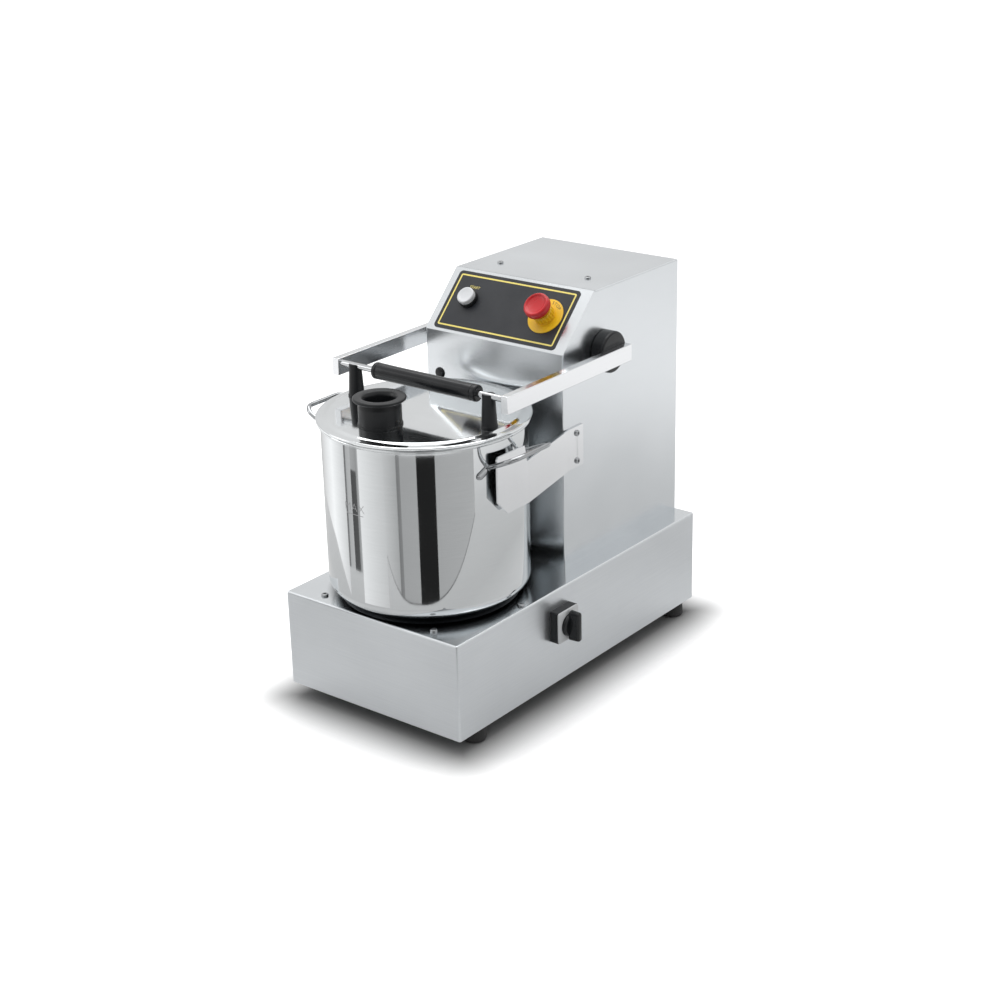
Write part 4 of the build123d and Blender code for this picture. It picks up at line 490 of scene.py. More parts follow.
def arc(centre, radius, start, end, steps):
    """Points centre + radius (cos a, sin a) for a from start to end, in degrees."""
    a = np.radians(np.linspace(start, end, steps))
    return np.stack([centre[0] + radius * np.cos(a), centre[1] + radius * np.sin(a)], -1)


def bowl_profile():
    """Closed ring profile: floor outside, corner, wall, bead, wall inside, corner, floor inside."""
    corner = (WALL_R - CORNER_R, FLOOR_Z + CORNER_R)
    bead = (WALL_R + BEAD_R - WALL_T, BEAD_Z)
    start = -math.degrees(math.acos((WALL_R - bead[0]) / BEAD_R))
    floor = np.array([[TUBE_R, FLOOR_Z], [TUBE_R + 40, FLOOR_Z]])
    return np.concatenate([
        floor, arc(corner, CORNER_R, -90, 0, 24), arc(bead, BEAD_R, start, 180, 28),
        arc(corner, CORNER_R - WALL_T, 0, -90, 20), floor[::-1] + (0, WALL_T),
    ])


bowl_grid = lathe_grid(bowl_profile(), 256) + (0, BOWL[1], 0)
bowl = dress("polished_bowl", bowl_grid, "base", MIRROR, "stainless_polished", "bowl",
             ring=True, crease=40.0)
print("bowl faces:", len(bowl.data.polygons))

# %% [markdown]
# ## Bowl handles
# Each handle is one length of round wire, bent to a loop that rises away from the wall. Its
# ends are pressed flat and follow the wall, where they are spot welded. A curve object with a
# round bevel could not flatten its ends, so the section is carried along the path by hand: an
# ellipse whose two half axes change along the wire.

# %% Wire carried along a path
def flowing(points, count):
    """Catmull-Rom spline through the points, sampled evenly by parameter."""
    p = np.array(points, float)
    p = np.concatenate([2 * p[:1] - p[1:2], p, 2 * p[-1:] - p[-2:-1]])
    spans = len(p) - 3
    s = np.linspace(0, spans, count)
    k = np.minimum(s.astype(int), spans - 1)
    t = (s - k)[:, None]
    a, b, c, d = p[k], p[k + 1], p[k + 2], p[k + 3]
    bend = (2 * a - 5 * b + 4 * c - d) * t ** 2 + (3 * b - a - 3 * c + d) * t ** 3
    return 0.5 * (2 * b + (c - a) * t + bend)


def wire_grid(path, wide, thin, out_dir, segments=24):
    """point(u, v) = path(u) + wide(u) cos v * side(u) + thin(u) sin v * out(u), with closed
    round ends."""
    tangent = np.gradient(path, axis=0)
    tangent /= np.linalg.norm(tangent, axis=1)[:, None]
    out = out_dir - tangent * np.sum(out_dir * tangent, axis=1)[:, None]
    out /= np.linalg.norm(out, axis=1)[:, None]
    side = np.cross(tangent, out)
    v = np.linspace(0, TURN, segments, endpoint=False)[None, :, None]
    across = wide[:, None, None] * np.cos(v) * side[:, None]
    grid = path[:, None] + across + thin[:, None, None] * np.sin(v) * out[:, None]
    caps = (0.0, 0.5, 0.85)
    ends = [[path[k] + way * tangent[k] * wide[k] * (1 - c) + (grid[k] - path[k]) * math.sqrt(c)
             for c in caps] for k, way in ((0, -1), (-1, 1))]
    return np.concatenate([ends[0], grid, ends[1][::-1]])


LEAVES_AT = 37.0  # half the distance between the places where the wire leaves the wall
BELLY = 43.0  # half the loop's greatest width
BEND_R = 18.0  # bend from the loop's side to its outer bar
RISE = 23.0  # from the feet up to the outer bar
FALL = math.radians(35.0)  # the flattened ends slope down along the wall
WIRE_R = 3.5
FLAT_WIDE, FLAT_THIN = 5.0, 1.3  # half axes of the flattened ends
FLAT_PART, EASE_PART = 0.085, 0.06  # shares of the path that stay flat and that turn round
FOOT_Z = bowl_high[2] - 38.0
REACH = low_high("bowl_handle_right")[1][0] - WIRE_R


def handle_half():
    """Path of half a handle: along the wall, out to the belly, round a bend to the outer bar."""
    wall = WALL_R + 1.5
    touch = math.sqrt(WALL_R ** 2 - LEAVES_AT ** 2)
    along = np.array([17.0, 11.0, 5.0, 0.0])
    y = LEAVES_AT + along * math.cos(FALL)
    on_wall = np.stack([np.sqrt(wall ** 2 - y ** 2), y, FOOT_Z - along * math.sin(FALL)], -1)
    side = [(touch + 8, 38.6), (touch + 15, 41.2), (touch + 23, BELLY)]
    bend = arc((REACH - BEND_R, BELLY - BEND_R), BEND_R, 90, 0, 5)
    plan = np.concatenate([side, bend, [(REACH, 16), (REACH, 5.5)]])
    height = FOOT_Z + RISE * (plan[:, :1] - touch) / (REACH - touch)
    return np.concatenate([on_wall, at_height(plan, height)])


def handle_grid():
    """Both halves joined, with a flat section at the feet and a round one in the loop."""
    half = handle_half()
    path = flowing(np.concatenate([half, half[::-1] * (1, -1, 1)]), 180)
    s = np.linspace(0, 1, len(path))
    loop = np.clip((np.minimum(s, 1 - s) - FLAT_PART) / EASE_PART, 0, 1)
    loop = loop * loop * (3 - 2 * loop)
    wide = FLAT_WIDE + (WIRE_R - FLAT_WIDE) * loop
    thin = FLAT_THIN + (WIRE_R - FLAT_THIN) * loop
    radial = path * (1, 1, 0)
    radial /= np.linalg.norm(radial, axis=1)[:, None]
    out_dir = radial * (1 - loop)[:, None] + np.array((-0.41, 0.0, 0.91)) * loop[:, None]
    return wire_grid(path, wide, thin, out_dir)


for label, side in (("right", 1), ("left", -1)):
    # The handles take the darker wire steel, whose tone is painted shade.
    dress(f"wire_handle_{label}", handle_grid() * (side, side, 1) + (0, BOWL[1], 0), "base", SHADED_WIRE,
          "stainless_bright", f"bowl_handle_{label}", crease=60.0)
print("handle reach:", REACH)

# %% [markdown]
# ## The lid
# The lid is a pressed disc with a flat middle, a low shoulder and a turned-down edge, polished
# like the bowl. A plain lathe would have no hole for the chute, and a boolean would leave long
# thin triangles in a mirror. So the flat is a ring between two circles that do not share a
# centre: point(t, v) = (1 - t) hole(v) + t edge(v). The shoulder and edge carry on from there.

# %% Lid with its off-centre hole
lid_low, lid_high = low_high("lid")
CHUTE = middle("feed_chute")
LID_TOP, EDGE_LOW = lid_high[2], lid_low[2]
LID_T = 1.8
HOLE_R, FLAT_R = 30.1, 133.0
EDGE_R = (lid_high[0] - lid_low[0]) / 2


def lid_grid(segments=256):
    """Closed skin: flat from the hole outwards, shoulder, edge, and back along the underside."""
    v = np.linspace(0, TURN, segments, endpoint=False)
    spin = np.stack([np.cos(v), np.sin(v)], -1)
    hole = np.array([CHUTE[0], CHUTE[1] - BOWL[1]]) + HOLE_R * spin
    t = np.linspace(0, 1, 10)[:, None, None]
    flat = (1 - t) * hole + t * FLAT_R * spin
    top, inner = LID_TOP, EDGE_R - LID_T
    rim = eased([
        (FLAT_R, top, 0), (FLAT_R + 2, top, 2.0), (FLAT_R + 7.5, top - 1.9, 2.5),
        (EDGE_R - 1.4, top - 2.3, 1.2), (EDGE_R, top - 3.4, 0.9), (EDGE_R, EDGE_LOW, 0.5),
        (inner, EDGE_LOW, 0.5), (inner, top - 3.0 - LID_T / 2, 0.6),
        (FLAT_R + 6, top - LID_T - 2.0, 1.5), (FLAT_R, top - LID_T, 0),
    ], 6)
    edge = at_height(rim[:, None, :1] * spin, rim[:, None, 1:])
    under = at_height(flat[::-1], top - LID_T)
    return np.concatenate([at_height(flat, top), edge, under]) + (0, BOWL[1], 0)


dress("pressed_lid", lid_grid(), "lid", SATIN, "stainless_polished", "lid", ring=True, crease=40.0)
print("lid top at", LID_TOP, "edge", EDGE_LOW)

# %% [markdown]
# ## Feed chute, posts and grip
# The chute is one black turned moulding: a broad flange to pour into, a slight neck, and a tube
# that goes through the lid and is held by a collar below it. The posts taper, and carry the
# handle rod in a groove. The grip is a moulded tube with a ring at each end.

# %% Feed chute, as a ring profile of its wall
chute_low, chute_high = low_high("feed_chute")
top, low, under = chute_high[2], chute_low[2], LID_TOP - LID_T
chute_grid = lathe([
    (21, low, 0.8), (28, low, 0.8), (30, low + 4, 2), (30, under - 6, 0.6), (36, under - 6, 0.8),
    (36, under - 0.1, 0.8), (30, under - 0.1, 0.2), (30, LID_TOP + 0.01, 0),
    (31.2, LID_TOP + 0.02, 0.3), (31.2, LID_TOP + 2.2, 0.5), (30, LID_TOP + 2.6, 0.3),
    (30, top - 13.5, 1.5), (29.0, top - 10.5, 1.5), (28.4, top - 8, 1.0), (28.4, top - 5, 0.8),
    (35.6, top - 5, 0.8), (37, top - 3.6, 0.9), (37, top - 1.6, 0.9), (35.4, top - 0.2, 1.2),
    (28.5, top, 1.2), (25.5, top - 0.4, 0.8), (23.6, top - 1.6, 1.0), (21, top - 5.5, 2.0),
], 4, 128, True)
dress("pouring_chute", chute_grid + (CHUTE[0], CHUTE[1], 0), "lid", BLACK, "black_plastic",
      "feed_chute", ring=True, crease=50.0)

# %% Posts, with a groove that the rod lies in
ROD_FIT = 4.6  # radius of the groove and the hole that take the rod


def post_grid(x, segments=72):
    """Tapered lathe whose top is pressed to a groove: z = min(z, rod centre - sqrt(R^2 - y^2))."""
    foot, head = LID_TOP + 0.02, ROD[2]
    profile = eased([
        (0, foot, 0), (12.0, foot, 0.3), (12.0, foot + 2.2, 0.7), (11.2, foot + 3.2, 1.5),
        (9.2, head - 6, 4.0), (9.0, head + 3.2, 1.4), (0, head + 3.2, 0),
    ], 6)
    steps = np.linspace(0, 1, 8)[1:-1, None]
    cap = profile[-2] * (1 - steps) + profile[-1] * steps
    grid = lathe_grid(np.concatenate([profile[:-1], cap, profile[-1:]]), segments)
    y, z = grid[..., 1], grid[..., 2]
    groove = head - np.sqrt(np.clip(ROD_FIT ** 2 - y ** 2, 0, None))
    grid[..., 2] = np.where(np.abs(y) < ROD_FIT, np.minimum(z, groove), z)
    return grid + (x, ROD[1], 0)


for label in ("left", "right"):
    node = f"lid_post_{label}"
    dress(f"tapered_post_{label}", post_grid(middle(node)[0]), "lid", BLACK, "black_plastic", node,
          crease=50.0)

# %% Handle rod and grip
ROD_R, ROD_EASE = 4.5, 0.5
ALONG_X = dict(x_dir=(0, 1, 0), z_dir=(1, 0, 0))
rod_low, rod_high = low_high("lid_handle_rod")
grip_low, grip_high = low_high("lid_grip")


def on_rod(grid):
    """Carry a turned grid onto the rod's axis."""
    return placed(grid, (0, ROD[1], ROD[2]), **ALONG_X)


start, end = rod_low[0], rod_high[0]
rod_grid = lathe([(0, start, 0), (ROD_R, start, ROD_EASE), (ROD_R, end, ROD_EASE), (0, end, 0)], 5, 64)
dress("handle_rod", on_rod(rod_grid), "lid", DRAWN, "stainless_bright", "lid_handle_rod")

grip_end = [(ROD_FIT, 0, 0.4), (11.0, 0, 0.6), (12.0, 1.2, 0.9), (12.0, 6.0, 0.4), (11.1, 6.5, 0.3),
            (11.1, 7.6, 0.3), (11.9, 8.2, 0.4), (11.6, 30.0, 8.0)]
grip_profile = ([(r, grip_low[0] + d, cut) for r, d, cut in grip_end]
                + [(r, grip_high[0] - d, cut) for r, d, cut in grip_end[::-1]])
dress("moulded_grip", on_rod(lathe(grip_profile, 4, 96, True)), "lid", GRIP_BLACK, "black_plastic",
      "lid_grip", ring=True, crease=40.0)
print("grip", grip_low[0], grip_high[0])

# %% [markdown]
# ## Pivot hubs, column plug and feet
# These are small turned mouldings. The hubs space the arms from the column, the plug closes a
# hole in its front, and the feet are rubber with a softly rounded sole and a recess for the
# bolt.

# %% Pivot hubs
for label, side in (("right", 1), ("left", -1)):
    low, high = low_high(f"pivot_hub_{label}")
    near, far = sorted((abs(low[0]), abs(high[0])))
    grid = lathe([(6, near, 0), (29, near, 1.0), (30.5, near + 1.5, 1.0), (30.5, far - 2.2, 1.6),
                  (28.4, far, 1.6), (6, far, 0)], 5, 96, True)
    grid = placed(grid, (0, PIVOT[1], PIVOT[2]), **ALONG_X) * (side, 1, 1)
    dress(f"spacer_hub_{label}", grid, "lid", GRIP_BLACK, "black_plastic", f"pivot_hub_{label}",
          ring=True, crease=40.0)

# %% Column plug
DOME = 4.0  # how far the plug stands out of the column's front
plug_at = middle("column_plug")
plug_at[1] = low_high("column_plug")[0][1] + DOME
plug_grid = lathe([(0, -8, 0), (6, -8, 0.5), (6, 0, 0), (8.5, 0, 0.4), (8.4, 1.2, 0.8),
                   (6.4, DOME - 0.6, 2.5), (0, DOME, 0)], 6, 48)
dress("domed_plug", placed(plug_grid, plug_at, z_dir=(0, -1, 0)), "base", GRIP_BLACK,
      "black_plastic", "column_plug")

# %% Rubber feet, as one piece with four shells
FOOT_R = 17.0


def join(pieces, name):
    """Join several pieces into one mesh object."""
    with bpy.context.temp_override(
        active_object=pieces[0], selected_editable_objects=pieces, object=pieces[0],
        selected_objects=pieces,
    ):
        bpy.ops.object.join()
    pieces[0].name = pieces[0].data.name = name
    return pieces[0]


low, high = low_high("rubber_feet")
foot_grid = lathe([
    (3.0, 7.0, 0), (6.2, 7.0, 0), (6.2, 0.6, 0.4), (6.8, 0.0, 0.4), (13.6, 0.0, 1.5),
    (16.4, 2.2, 2.0), (FOOT_R, 4.5, 1.5), (15.6, high[2], 0.5), (3.0, high[2], 0),
], 5, 64, True)
spots = [(x, y, 0) for x in (low[0] + FOOT_R, high[0] - FOOT_R)
         for y in (low[1] + FOOT_R, high[1] - FOOT_R)]
feet = join([skin(f"foot_{k}", foot_grid + spot, True, 45.0) for k, spot in enumerate(spots)],
            "turned_feet")
settle(feet, "base", RUBBER, "black_rubber", "rubber_feet")
print("feet faces:", len(feet.data.polygons))

# %% [markdown]
# ## The control panel
# Everything on the sloping panel shares one local frame: X across, U up the slope and N out of
# it. The label's own box gives the origin, and the nodes' corners, measured along U and N, give
# each button its place. A piece is then drawn flat and carried onto the slope by `placed`.

# %% The panel's frame
def points_of(mesh):
    """Points of a mesh as rows, in millimetres."""
    points = np.zeros(len(mesh.vertices) * 3)
    mesh.vertices.foreach_get("co", points)
    return points.reshape(-1, 3) / MM


def span(node, direction):
    """Smallest and largest distance of a node's points along a direction, in millimetres."""
    along = points_of(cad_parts[node].data) @ np.array(direction, float)
    return along.min(), along.max()


X_DIR = np.array([1.0, 0.0, 0.0])
U_DIR = np.array([0.0, 1.0, 1.0]) / math.sqrt(2)
N_DIR = np.array([0.0, -1.0, 1.0]) / math.sqrt(2)
LABEL = middle("control_label")
LABEL_FACE = span("control_label", N_DIR)[1]
LABEL_W, LABEL_H = (np.ptp(span("control_label", way)) for way in (X_DIR, U_DIR))


def off_face(node):
    """How far a node's lowest and highest points stand off the label's face."""
    return np.array(span(node, N_DIR)) - LABEL_FACE


def button_place(node):
    """(x, u) of a round node on the panel."""
    return sum(span(node, X_DIR)) / 2, sum(span(node, U_DIR)) / 2 - LABEL @ U_DIR


def on_panel(grid, x, u, out=0.0):
    """Carry a flat grid onto the panel: x across the machine, u up from the label's middle."""
    flat = LABEL + N_DIR * (LABEL_FACE - LABEL @ N_DIR + out)
    origin = flat + X_DIR * (x - LABEL[0]) + U_DIR * u
    return placed(grid, origin, x_dir=X_DIR, z_dir=N_DIR)


START = button_place("start_button_bezel")
ESTOP = button_place("estop_collar")
print("start", np.round(START, 1), "stop", np.round(ESTOP, 1), "label", LABEL_W.round(1), LABEL_H.round(1))

# %% [markdown]
# ## Rounded rectangles
# The printed border and the switch's dial plate are both rounded rectangles. One helper gives
# the outline at any inset: the corner centres stay and the corner radius shrinks, which keeps
# the band between two outlines even all the way round.

# %% Outlines of a rounded rectangle
def rounded_outline(half_x, half_y, corner, inset=0.0, steps=10):
    """Corner arcs of radius (corner - inset) about fixed centres, anticlockwise, as (x, y) points."""
    radius = max(corner - inset, 0.0)
    shift = max(inset - corner, 0.0)
    cx, cy = half_x - corner - shift, half_y - corner - shift
    parts = [arc((sx * cx, sy * cy), radius, a, a + 90, steps)
             for sx, sy, a in ((1, 1, 0), (-1, 1, 90), (-1, -1, 180), (1, -1, 270))]
    return np.concatenate(parts)


def prism_grid(half_x, half_y, corner, profile):
    """Rows of rounded outlines, one for each (inset, height) of the profile."""
    return np.array([at_height(rounded_outline(half_x, half_y, corner, inset), height)
                     for inset, height in profile])


# %% Printed border of the label
LINE_OUT, LINE_W, LINE_CORNER = 5.2, 2.4, 8.0
INK, UNDER_INK = 0.06, -0.02  # heights of the print's top and of its hidden lower side
inner = LINE_OUT + LINE_W
border_grid = prism_grid(LABEL_W / 2, LABEL_H / 2, LINE_CORNER, [
    (LINE_OUT, UNDER_INK), (LINE_OUT, INK), (inner, INK), (inner, UNDER_INK),
])
dress("label_border", on_panel(border_grid, LABEL[0], 0), "base", PRINT_YELLOW, "label_film",
      ring=True)

# %% [markdown]
# ## Printed words
# A word starts as a text curve, is made into a mesh while it still lies flat, and only then is
# carried to its place, so that it can also be wrapped round a cylinder or a circle.

# %% Words as flat meshes
CAPITAL = 0.70  # height of a capital letter as a share of the text size


def word(name, text, height, thick=0.05, spacing=1.0, slim=0.0):
    """Flat mesh of a word centred on the origin, capital height in mm; slim thins each stroke."""
    curve = bpy.data.curves.new(name, "FONT")
    curve.body = text
    curve.size = height / CAPITAL * MM
    curve.space_character = spacing
    curve.align_x, curve.align_y = "CENTER", "CENTER"
    curve.extrude = thick / 2 * MM
    curve.offset = -slim * MM
    curve.resolution_u = 4
    drawn = show(name, curve)
    bpy.context.view_layer.update()
    mesh = bpy.data.meshes.new_from_object(drawn)
    bpy.data.objects.remove(drawn)
    mesh.name = name
    return show(name, mesh)


def reshape(piece, move):
    """Send all points of a flat mesh through move(points in mm)."""
    moved = move(points_of(piece.data)) * MM
    piece.data.vertices.foreach_set("co", moved.ravel())
    piece.data.update()
    return piece


WORD_UP = 20.3  # from the button's middle up to the middle of its word
start_word = word("start_word", "START", 4.4)
reshape(start_word, lambda p: on_panel(p, START[0], START[1] + WORD_UP, INK / 2))
settle(start_word, "base", PRINT_YELLOW, "label_film")

# %% Word on the ring of the emergency stop: each point's x becomes an angle
DISC_T = 1.2
RING_R, RING_AT = 22.3, 62.0  # radius of the word's middle line, and its place in degrees


def round_the_ring(points):
    """x runs along the circle: angle = place - x / radius, distance = radius + y."""
    angle = math.radians(RING_AT) - points[:, 0] / RING_R
    out = RING_R + points[:, 1]
    flat = np.stack([out * np.cos(angle), out * np.sin(angle), points[:, 2]], -1)
    return on_panel(flat, *ESTOP, DISC_T + INK / 2)


stop_word = reshape(word("stop_word", "STOP", 5.0, spacing=1.2), round_the_ring)
settle(stop_word, "base", PRINT_BLACK, "yellow_plastic")

# %% [markdown]
# ## Start button
# A pale cap stands in a black bezel with a bright narrow lip. The cap is slightly dished so a
# finger finds its middle.

# %% Bezel and cap
neck, top = off_face("start_button_bezel")
bezel_grid = lathe([
    (5.3, neck, 0.2), (11.0, neck, 0.5), (11.0, 0.0, 0.1), (15.0, 0.0, 0.2), (15.0, top - 1.4, 0.6),
    (14.3, top, 0.3), (13.75, top, 0.2), (13.75, 1.5, 0.2), (5.3, 1.5, 0.2),
], 4, 96, True)
dress("start_bezel_ring", on_panel(bezel_grid, *START), "base", GRIP_BLACK, "black_plastic",
      "start_button_bezel", ring=True, crease=40.0)

top = off_face("start_button")[1]
cap_grid = lathe([
    (0, -18, 0), (5, -18, 0.5), (5, 6.2, 0.3), (13.4, 6.2, 0.3), (13.4, top - 1.2, 0.9),
    (12.3, top, 0.9), (10.8, top - 0.1, 1.5), (6.0, top - 0.9, 2.0), (0, top - 1.1, 0),
], 6, 96)
dress("start_cap", on_panel(cap_grid, *START), "start_button", CAP_WHITE, "white_plastic",
      "start_button", crease=50.0)

# %% [markdown]
# ## Emergency stop
# A yellow disc, a ribbed yellow collar and a red mushroom head. The collar's ribs come from a
# lathe whose radius is modulated: r(v) = r (1 - d |cos(10 v)|^8), which leaves narrow grooves
# between broad ribs. The head is dished, with a raised rim that the palm feels.

# %% Disc, collar and mushroom head
disc_grid = lathe([(11.2, 0, 0.1), (28, 0, 0.3), (28, DISC_T, 0.5), (11.2, DISC_T, 0.1)], 4, 128, True)
dress("stop_disc", on_panel(disc_grid, *ESTOP), "base", SIGNAL_YELLOW, "yellow_plastic",
      "estop_legend_disc", ring=True, crease=40.0)

RIB_DEPTH, RIB_WAVES = 0.075, 10  # |cos| peaks twice a wave, so this gives 20 grooves


def collar_grid(segments=384):
    """Lathe with ribs only between the collar's base ring and its top ring."""
    low, top = off_face("estop_collar")
    ribs_from, ribs_to = DISC_T + 2.6, top - 1.6
    grid = lathe([
        (7.4, low, 0.2), (11, low, 0.4), (11, DISC_T + 0.02, 0.1), (15.4, DISC_T + 0.02, 0.2),
        (15.4, DISC_T + 1.4, 0.3), (14.0, DISC_T + 1.8, 0.2), (14.0, ribs_from - 0.3, 0.2),
        (16.0, ribs_from, 0.4), (15.8, ribs_to, 0.8), (14.2, top, 0.6), (7.4, top, 0.2),
    ], 5, segments, True)
    v = np.linspace(0, TURN, segments, endpoint=False)
    r = np.hypot(grid[..., 0], grid[..., 1])
    fade = np.clip((r - 14.0) / 1.2, 0, 1) * (grid[..., 2] > ribs_from - 0.4)
    grid[..., :2] *= (1 - RIB_DEPTH * fade * np.abs(np.cos(RIB_WAVES * v)) ** 8)[..., None]
    return grid


dress("ribbed_collar", on_panel(collar_grid(), *ESTOP), "base", SIGNAL_YELLOW, "yellow_plastic",
      "estop_collar", ring=True, crease=50.0)

low, top = off_face("estop_mushroom")
head_grid = lathe([
    (0, low + 7.3, 0), (7.3, low + 7.3, 0.3), (7.3, low, 0.4), (16.5, low, 1.0),
    (19.4, low + 2.4, 1.8), (20.0, low + 5.2, 1.4), (19.3, top - 2.0, 1.4), (17.4, top, 1.0),
    (15.8, top - 0.3, 1.0), (13.4, top - 2.2, 2.0), (7.0, top - 3.0, 2.0), (0, top - 3.2, 0),
], 6, 128)
dress("mushroom_head", on_panel(head_grid, *ESTOP), "estop_head", SIGNAL_RED, "red_plastic",
      "estop_mushroom", crease=50.0)
print("head from", round(low, 1), "to", round(top, 1))

# %% [markdown]
# ## Cam switch
# The main switch on the right side is a square black box with a pale dial plate and a round
# knob with an upright grip. Its local frame is drawn flat and turned so that Z points out of
# the machine's side and local X runs towards the back.

# %% Plate and knob
SIDE_X = low_high("base_housing")[1][0]
plate_low, plate_high = low_high("cam_switch_plate")
SWITCH = (plate_low + plate_high) / 2
HALF = (plate_high[1] - plate_low[1]) / 2
PLATE_T = plate_high[0] - plate_low[0]


def on_side(grid, out=0.0):
    """Carry a flat grid onto the machine's side at the switch."""
    return placed(grid, (SIDE_X + out, SWITCH[1], SWITCH[2]), **ALONG_X)


plate_grid = prism_grid(HALF, HALF, 4.0, [
    (HALF - 0.01, 0.01), (0.6, 0.01), (0.3, 0.3), (0.3, PLATE_T - 0.7), (0.55, PLATE_T - 0.25),
    (1.2, PLATE_T), (HALF - 0.01, PLATE_T),
])
dress("switch_dial_plate", on_side(plate_grid, plate_low[0] - SIDE_X), "base", PALE_PLATE,
      "grey_plastic", "cam_switch_plate", crease=40.0)


def knob_blade(wide, long, tall):
    """Grip as outlines that shrink towards the crest: half width = wide / 2 (1 - 0.16 z), less at
    the crest and at the waist, half length = long / 2 (1 - 0.03 z), for z from 0 to 1."""
    rows = []
    for z in np.linspace(0, 1, 14):
        drop = 1 - math.sqrt(1 - np.clip((z - 0.82) / 0.18, 0, 1) ** 2)
        half_x = wide / 2 * (1 - 0.16 * z - 0.35 * drop)
        half_y = long / 2 * (1 - 0.03 * z) - 1.6 * drop
        ring = rounded_outline(half_x, half_y, min(half_x, half_y) * 0.85, 0.0, 12)
        ring[:, 0] *= 1 - 0.18 * np.exp(-(ring[:, 1] / 9.0) ** 2) * z
        rows.append(at_height(ring, z * tall))
    return np.array([rows[0] * (0, 0, 1), *rows, rows[-1] * (0, 0, 1)])


KNOB_FROM = plate_high[0] - SIDE_X + 0.3
KNOB_TOP = low_high("cam_switch_knob")[1][0] - SIDE_X
SKIRT = 4.0  # the blade starts this far up inside the round base
base_grid = lathe([(0, 0, 0), (17, 0, 0.3), (17, 1.0, 0.4), (16.4, 4.4, 1.2), (14.6, 6.0, 1.5),
                   (0, 6.0, 0)], 6, 96)
blade_grid = knob_blade(wide=12.5, long=46.0, tall=KNOB_TOP - KNOB_FROM - SKIRT)
turned_base = skin("knob_base", on_side(base_grid, KNOB_FROM), False, 40.0)
blade = skin("knob_blade", on_side(blade_grid, KNOB_FROM + SKIRT), False, 50.0)
knob = join([turned_base, blade], "switch_knob")
settle(knob, "cam_knob", GRIP_BLACK, "black_plastic", "cam_switch_knob")
print("switch at", SWITCH.round(1), "knob out to", round(KNOB_TOP, 1))

# %% [markdown]
# ## Hand nut on the spindle
# Under the lid a coarse hand nut clamps the knives. Its grip is a lathe with broad lobes.

# %% Lobed hand nut
LOBE_DEPTH, LOBES = 0.09, 6


def nut_grid(segments=192):
    """Lobed lathe: r (1 - depth (r / R)^2 (1 - cos 6v) / 2), so the lobes fade out inwards."""
    (left, _, low), (right, _, high) = low_high("knife_hand_nut")
    radius = (right - left) / 2
    grid = lathe([
        (0, low, 0), (radius * 0.8, low, 1.0), (radius, low + 3, 2.0), (radius, high - 6, 3.0),
        (radius * 0.8, high - 1, 3.0), (0, high, 0),
    ], 6, segments)
    v = np.linspace(0, TURN, segments, endpoint=False)
    near = np.clip(np.hypot(grid[..., 0], grid[..., 1]) / radius, 0, 1) ** 2
    grid[..., :2] *= (1 - LOBE_DEPTH * near * (1 - np.cos(LOBES * v)) / 2)[..., None]
    return grid + (BOWL[0], BOWL[1], 0)


dress("lobed_nut", nut_grid(), "spindle", GRIP_BLACK, "black_plastic", "knife_hand_nut", crease=50.0)

# %% [markdown]
# ## Etched mark on the bowl
# A fill mark is etched into the wall. Etching dulls the mirror, so the word is a very thin skin
# of matt grey wrapped round the cylinder: an x on the flat word becomes an angle on the wall.

# %% Fill mark
ETCHED = steel("etched_steel", ((0.42, 0.42, 0.43), (0.50, 0.50, 0.51)), (0.45, 0.55))
MARK_AT, MARK_Z, MARK_R = -2.7, 335.0, WALL_R + 0.03


def round_the_bowl(points):
    """angle = the mark's place + x / radius, measured from the front; distance = radius + z."""
    angle = math.radians(MARK_AT) + points[..., 0] / MARK_R
    out = MARK_R + points[..., 2]
    turned = [out * np.sin(angle), BOWL[1] - out * np.cos(angle), MARK_Z + points[..., 1]]
    return np.stack(turned, -1)


fill_word = reshape(word("fill_word", "MAX", 12.0, INK, spacing=1.05, slim=0.35), round_the_bowl)
section = ((-10.0, -0.03), (-10.0, 0.04), (-9.1, 0.04), (-9.1, -0.03))  # height and depth
line_grid = np.array([[(x, y, z) for x in np.linspace(-16, 16, 17)] for y, z in section])
fill_line = skin("fill_line", round_the_bowl(line_grid), True, around=False)
settle(join([fill_word, fill_line], "fill_mark"), "base", ETCHED, "stainless_polished")

# %% [markdown]
# ## Soft edges on folded sheet
# A folded edge has a small outside radius that shows as a thin bright line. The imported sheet
# meshes are triangles with hard edges, so a narrow bevel modifier rounds only the sharp ones.
# The moulded box of the switch gets a broader one.

# %% Bevel the folds
SOFT = {"lid_arm_left": 0.6, "lid_arm_right": 0.6, "bowl_bracket": 0.3, "cam_switch_body": 1.2}

for node, width in SOFT.items():
    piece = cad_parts[node]
    piece.modifiers.new("weld", "WELD").merge_threshold = 1e-5
    bevel = piece.modifiers.new("fold", "BEVEL")
    bevel.width = width * MM
    bevel.segments = 2
    bevel.limit_method = "ANGLE"
    bevel.angle_limit = math.radians(30.0)
    bevel.harden_normals = True

# %% [markdown]
# ## Floor, light and camera
# The machine stands on a white floor that runs out to a white surround. Straight into the
# camera the floor is brightened to white, with a soft contact shadow painted round the base.
# Polished steel shows what is round it, so the light is a large soft box above, a smaller one
# on the left, a plain light surround, and the cards of the next step.

# %% Floor
FAR = 40.0


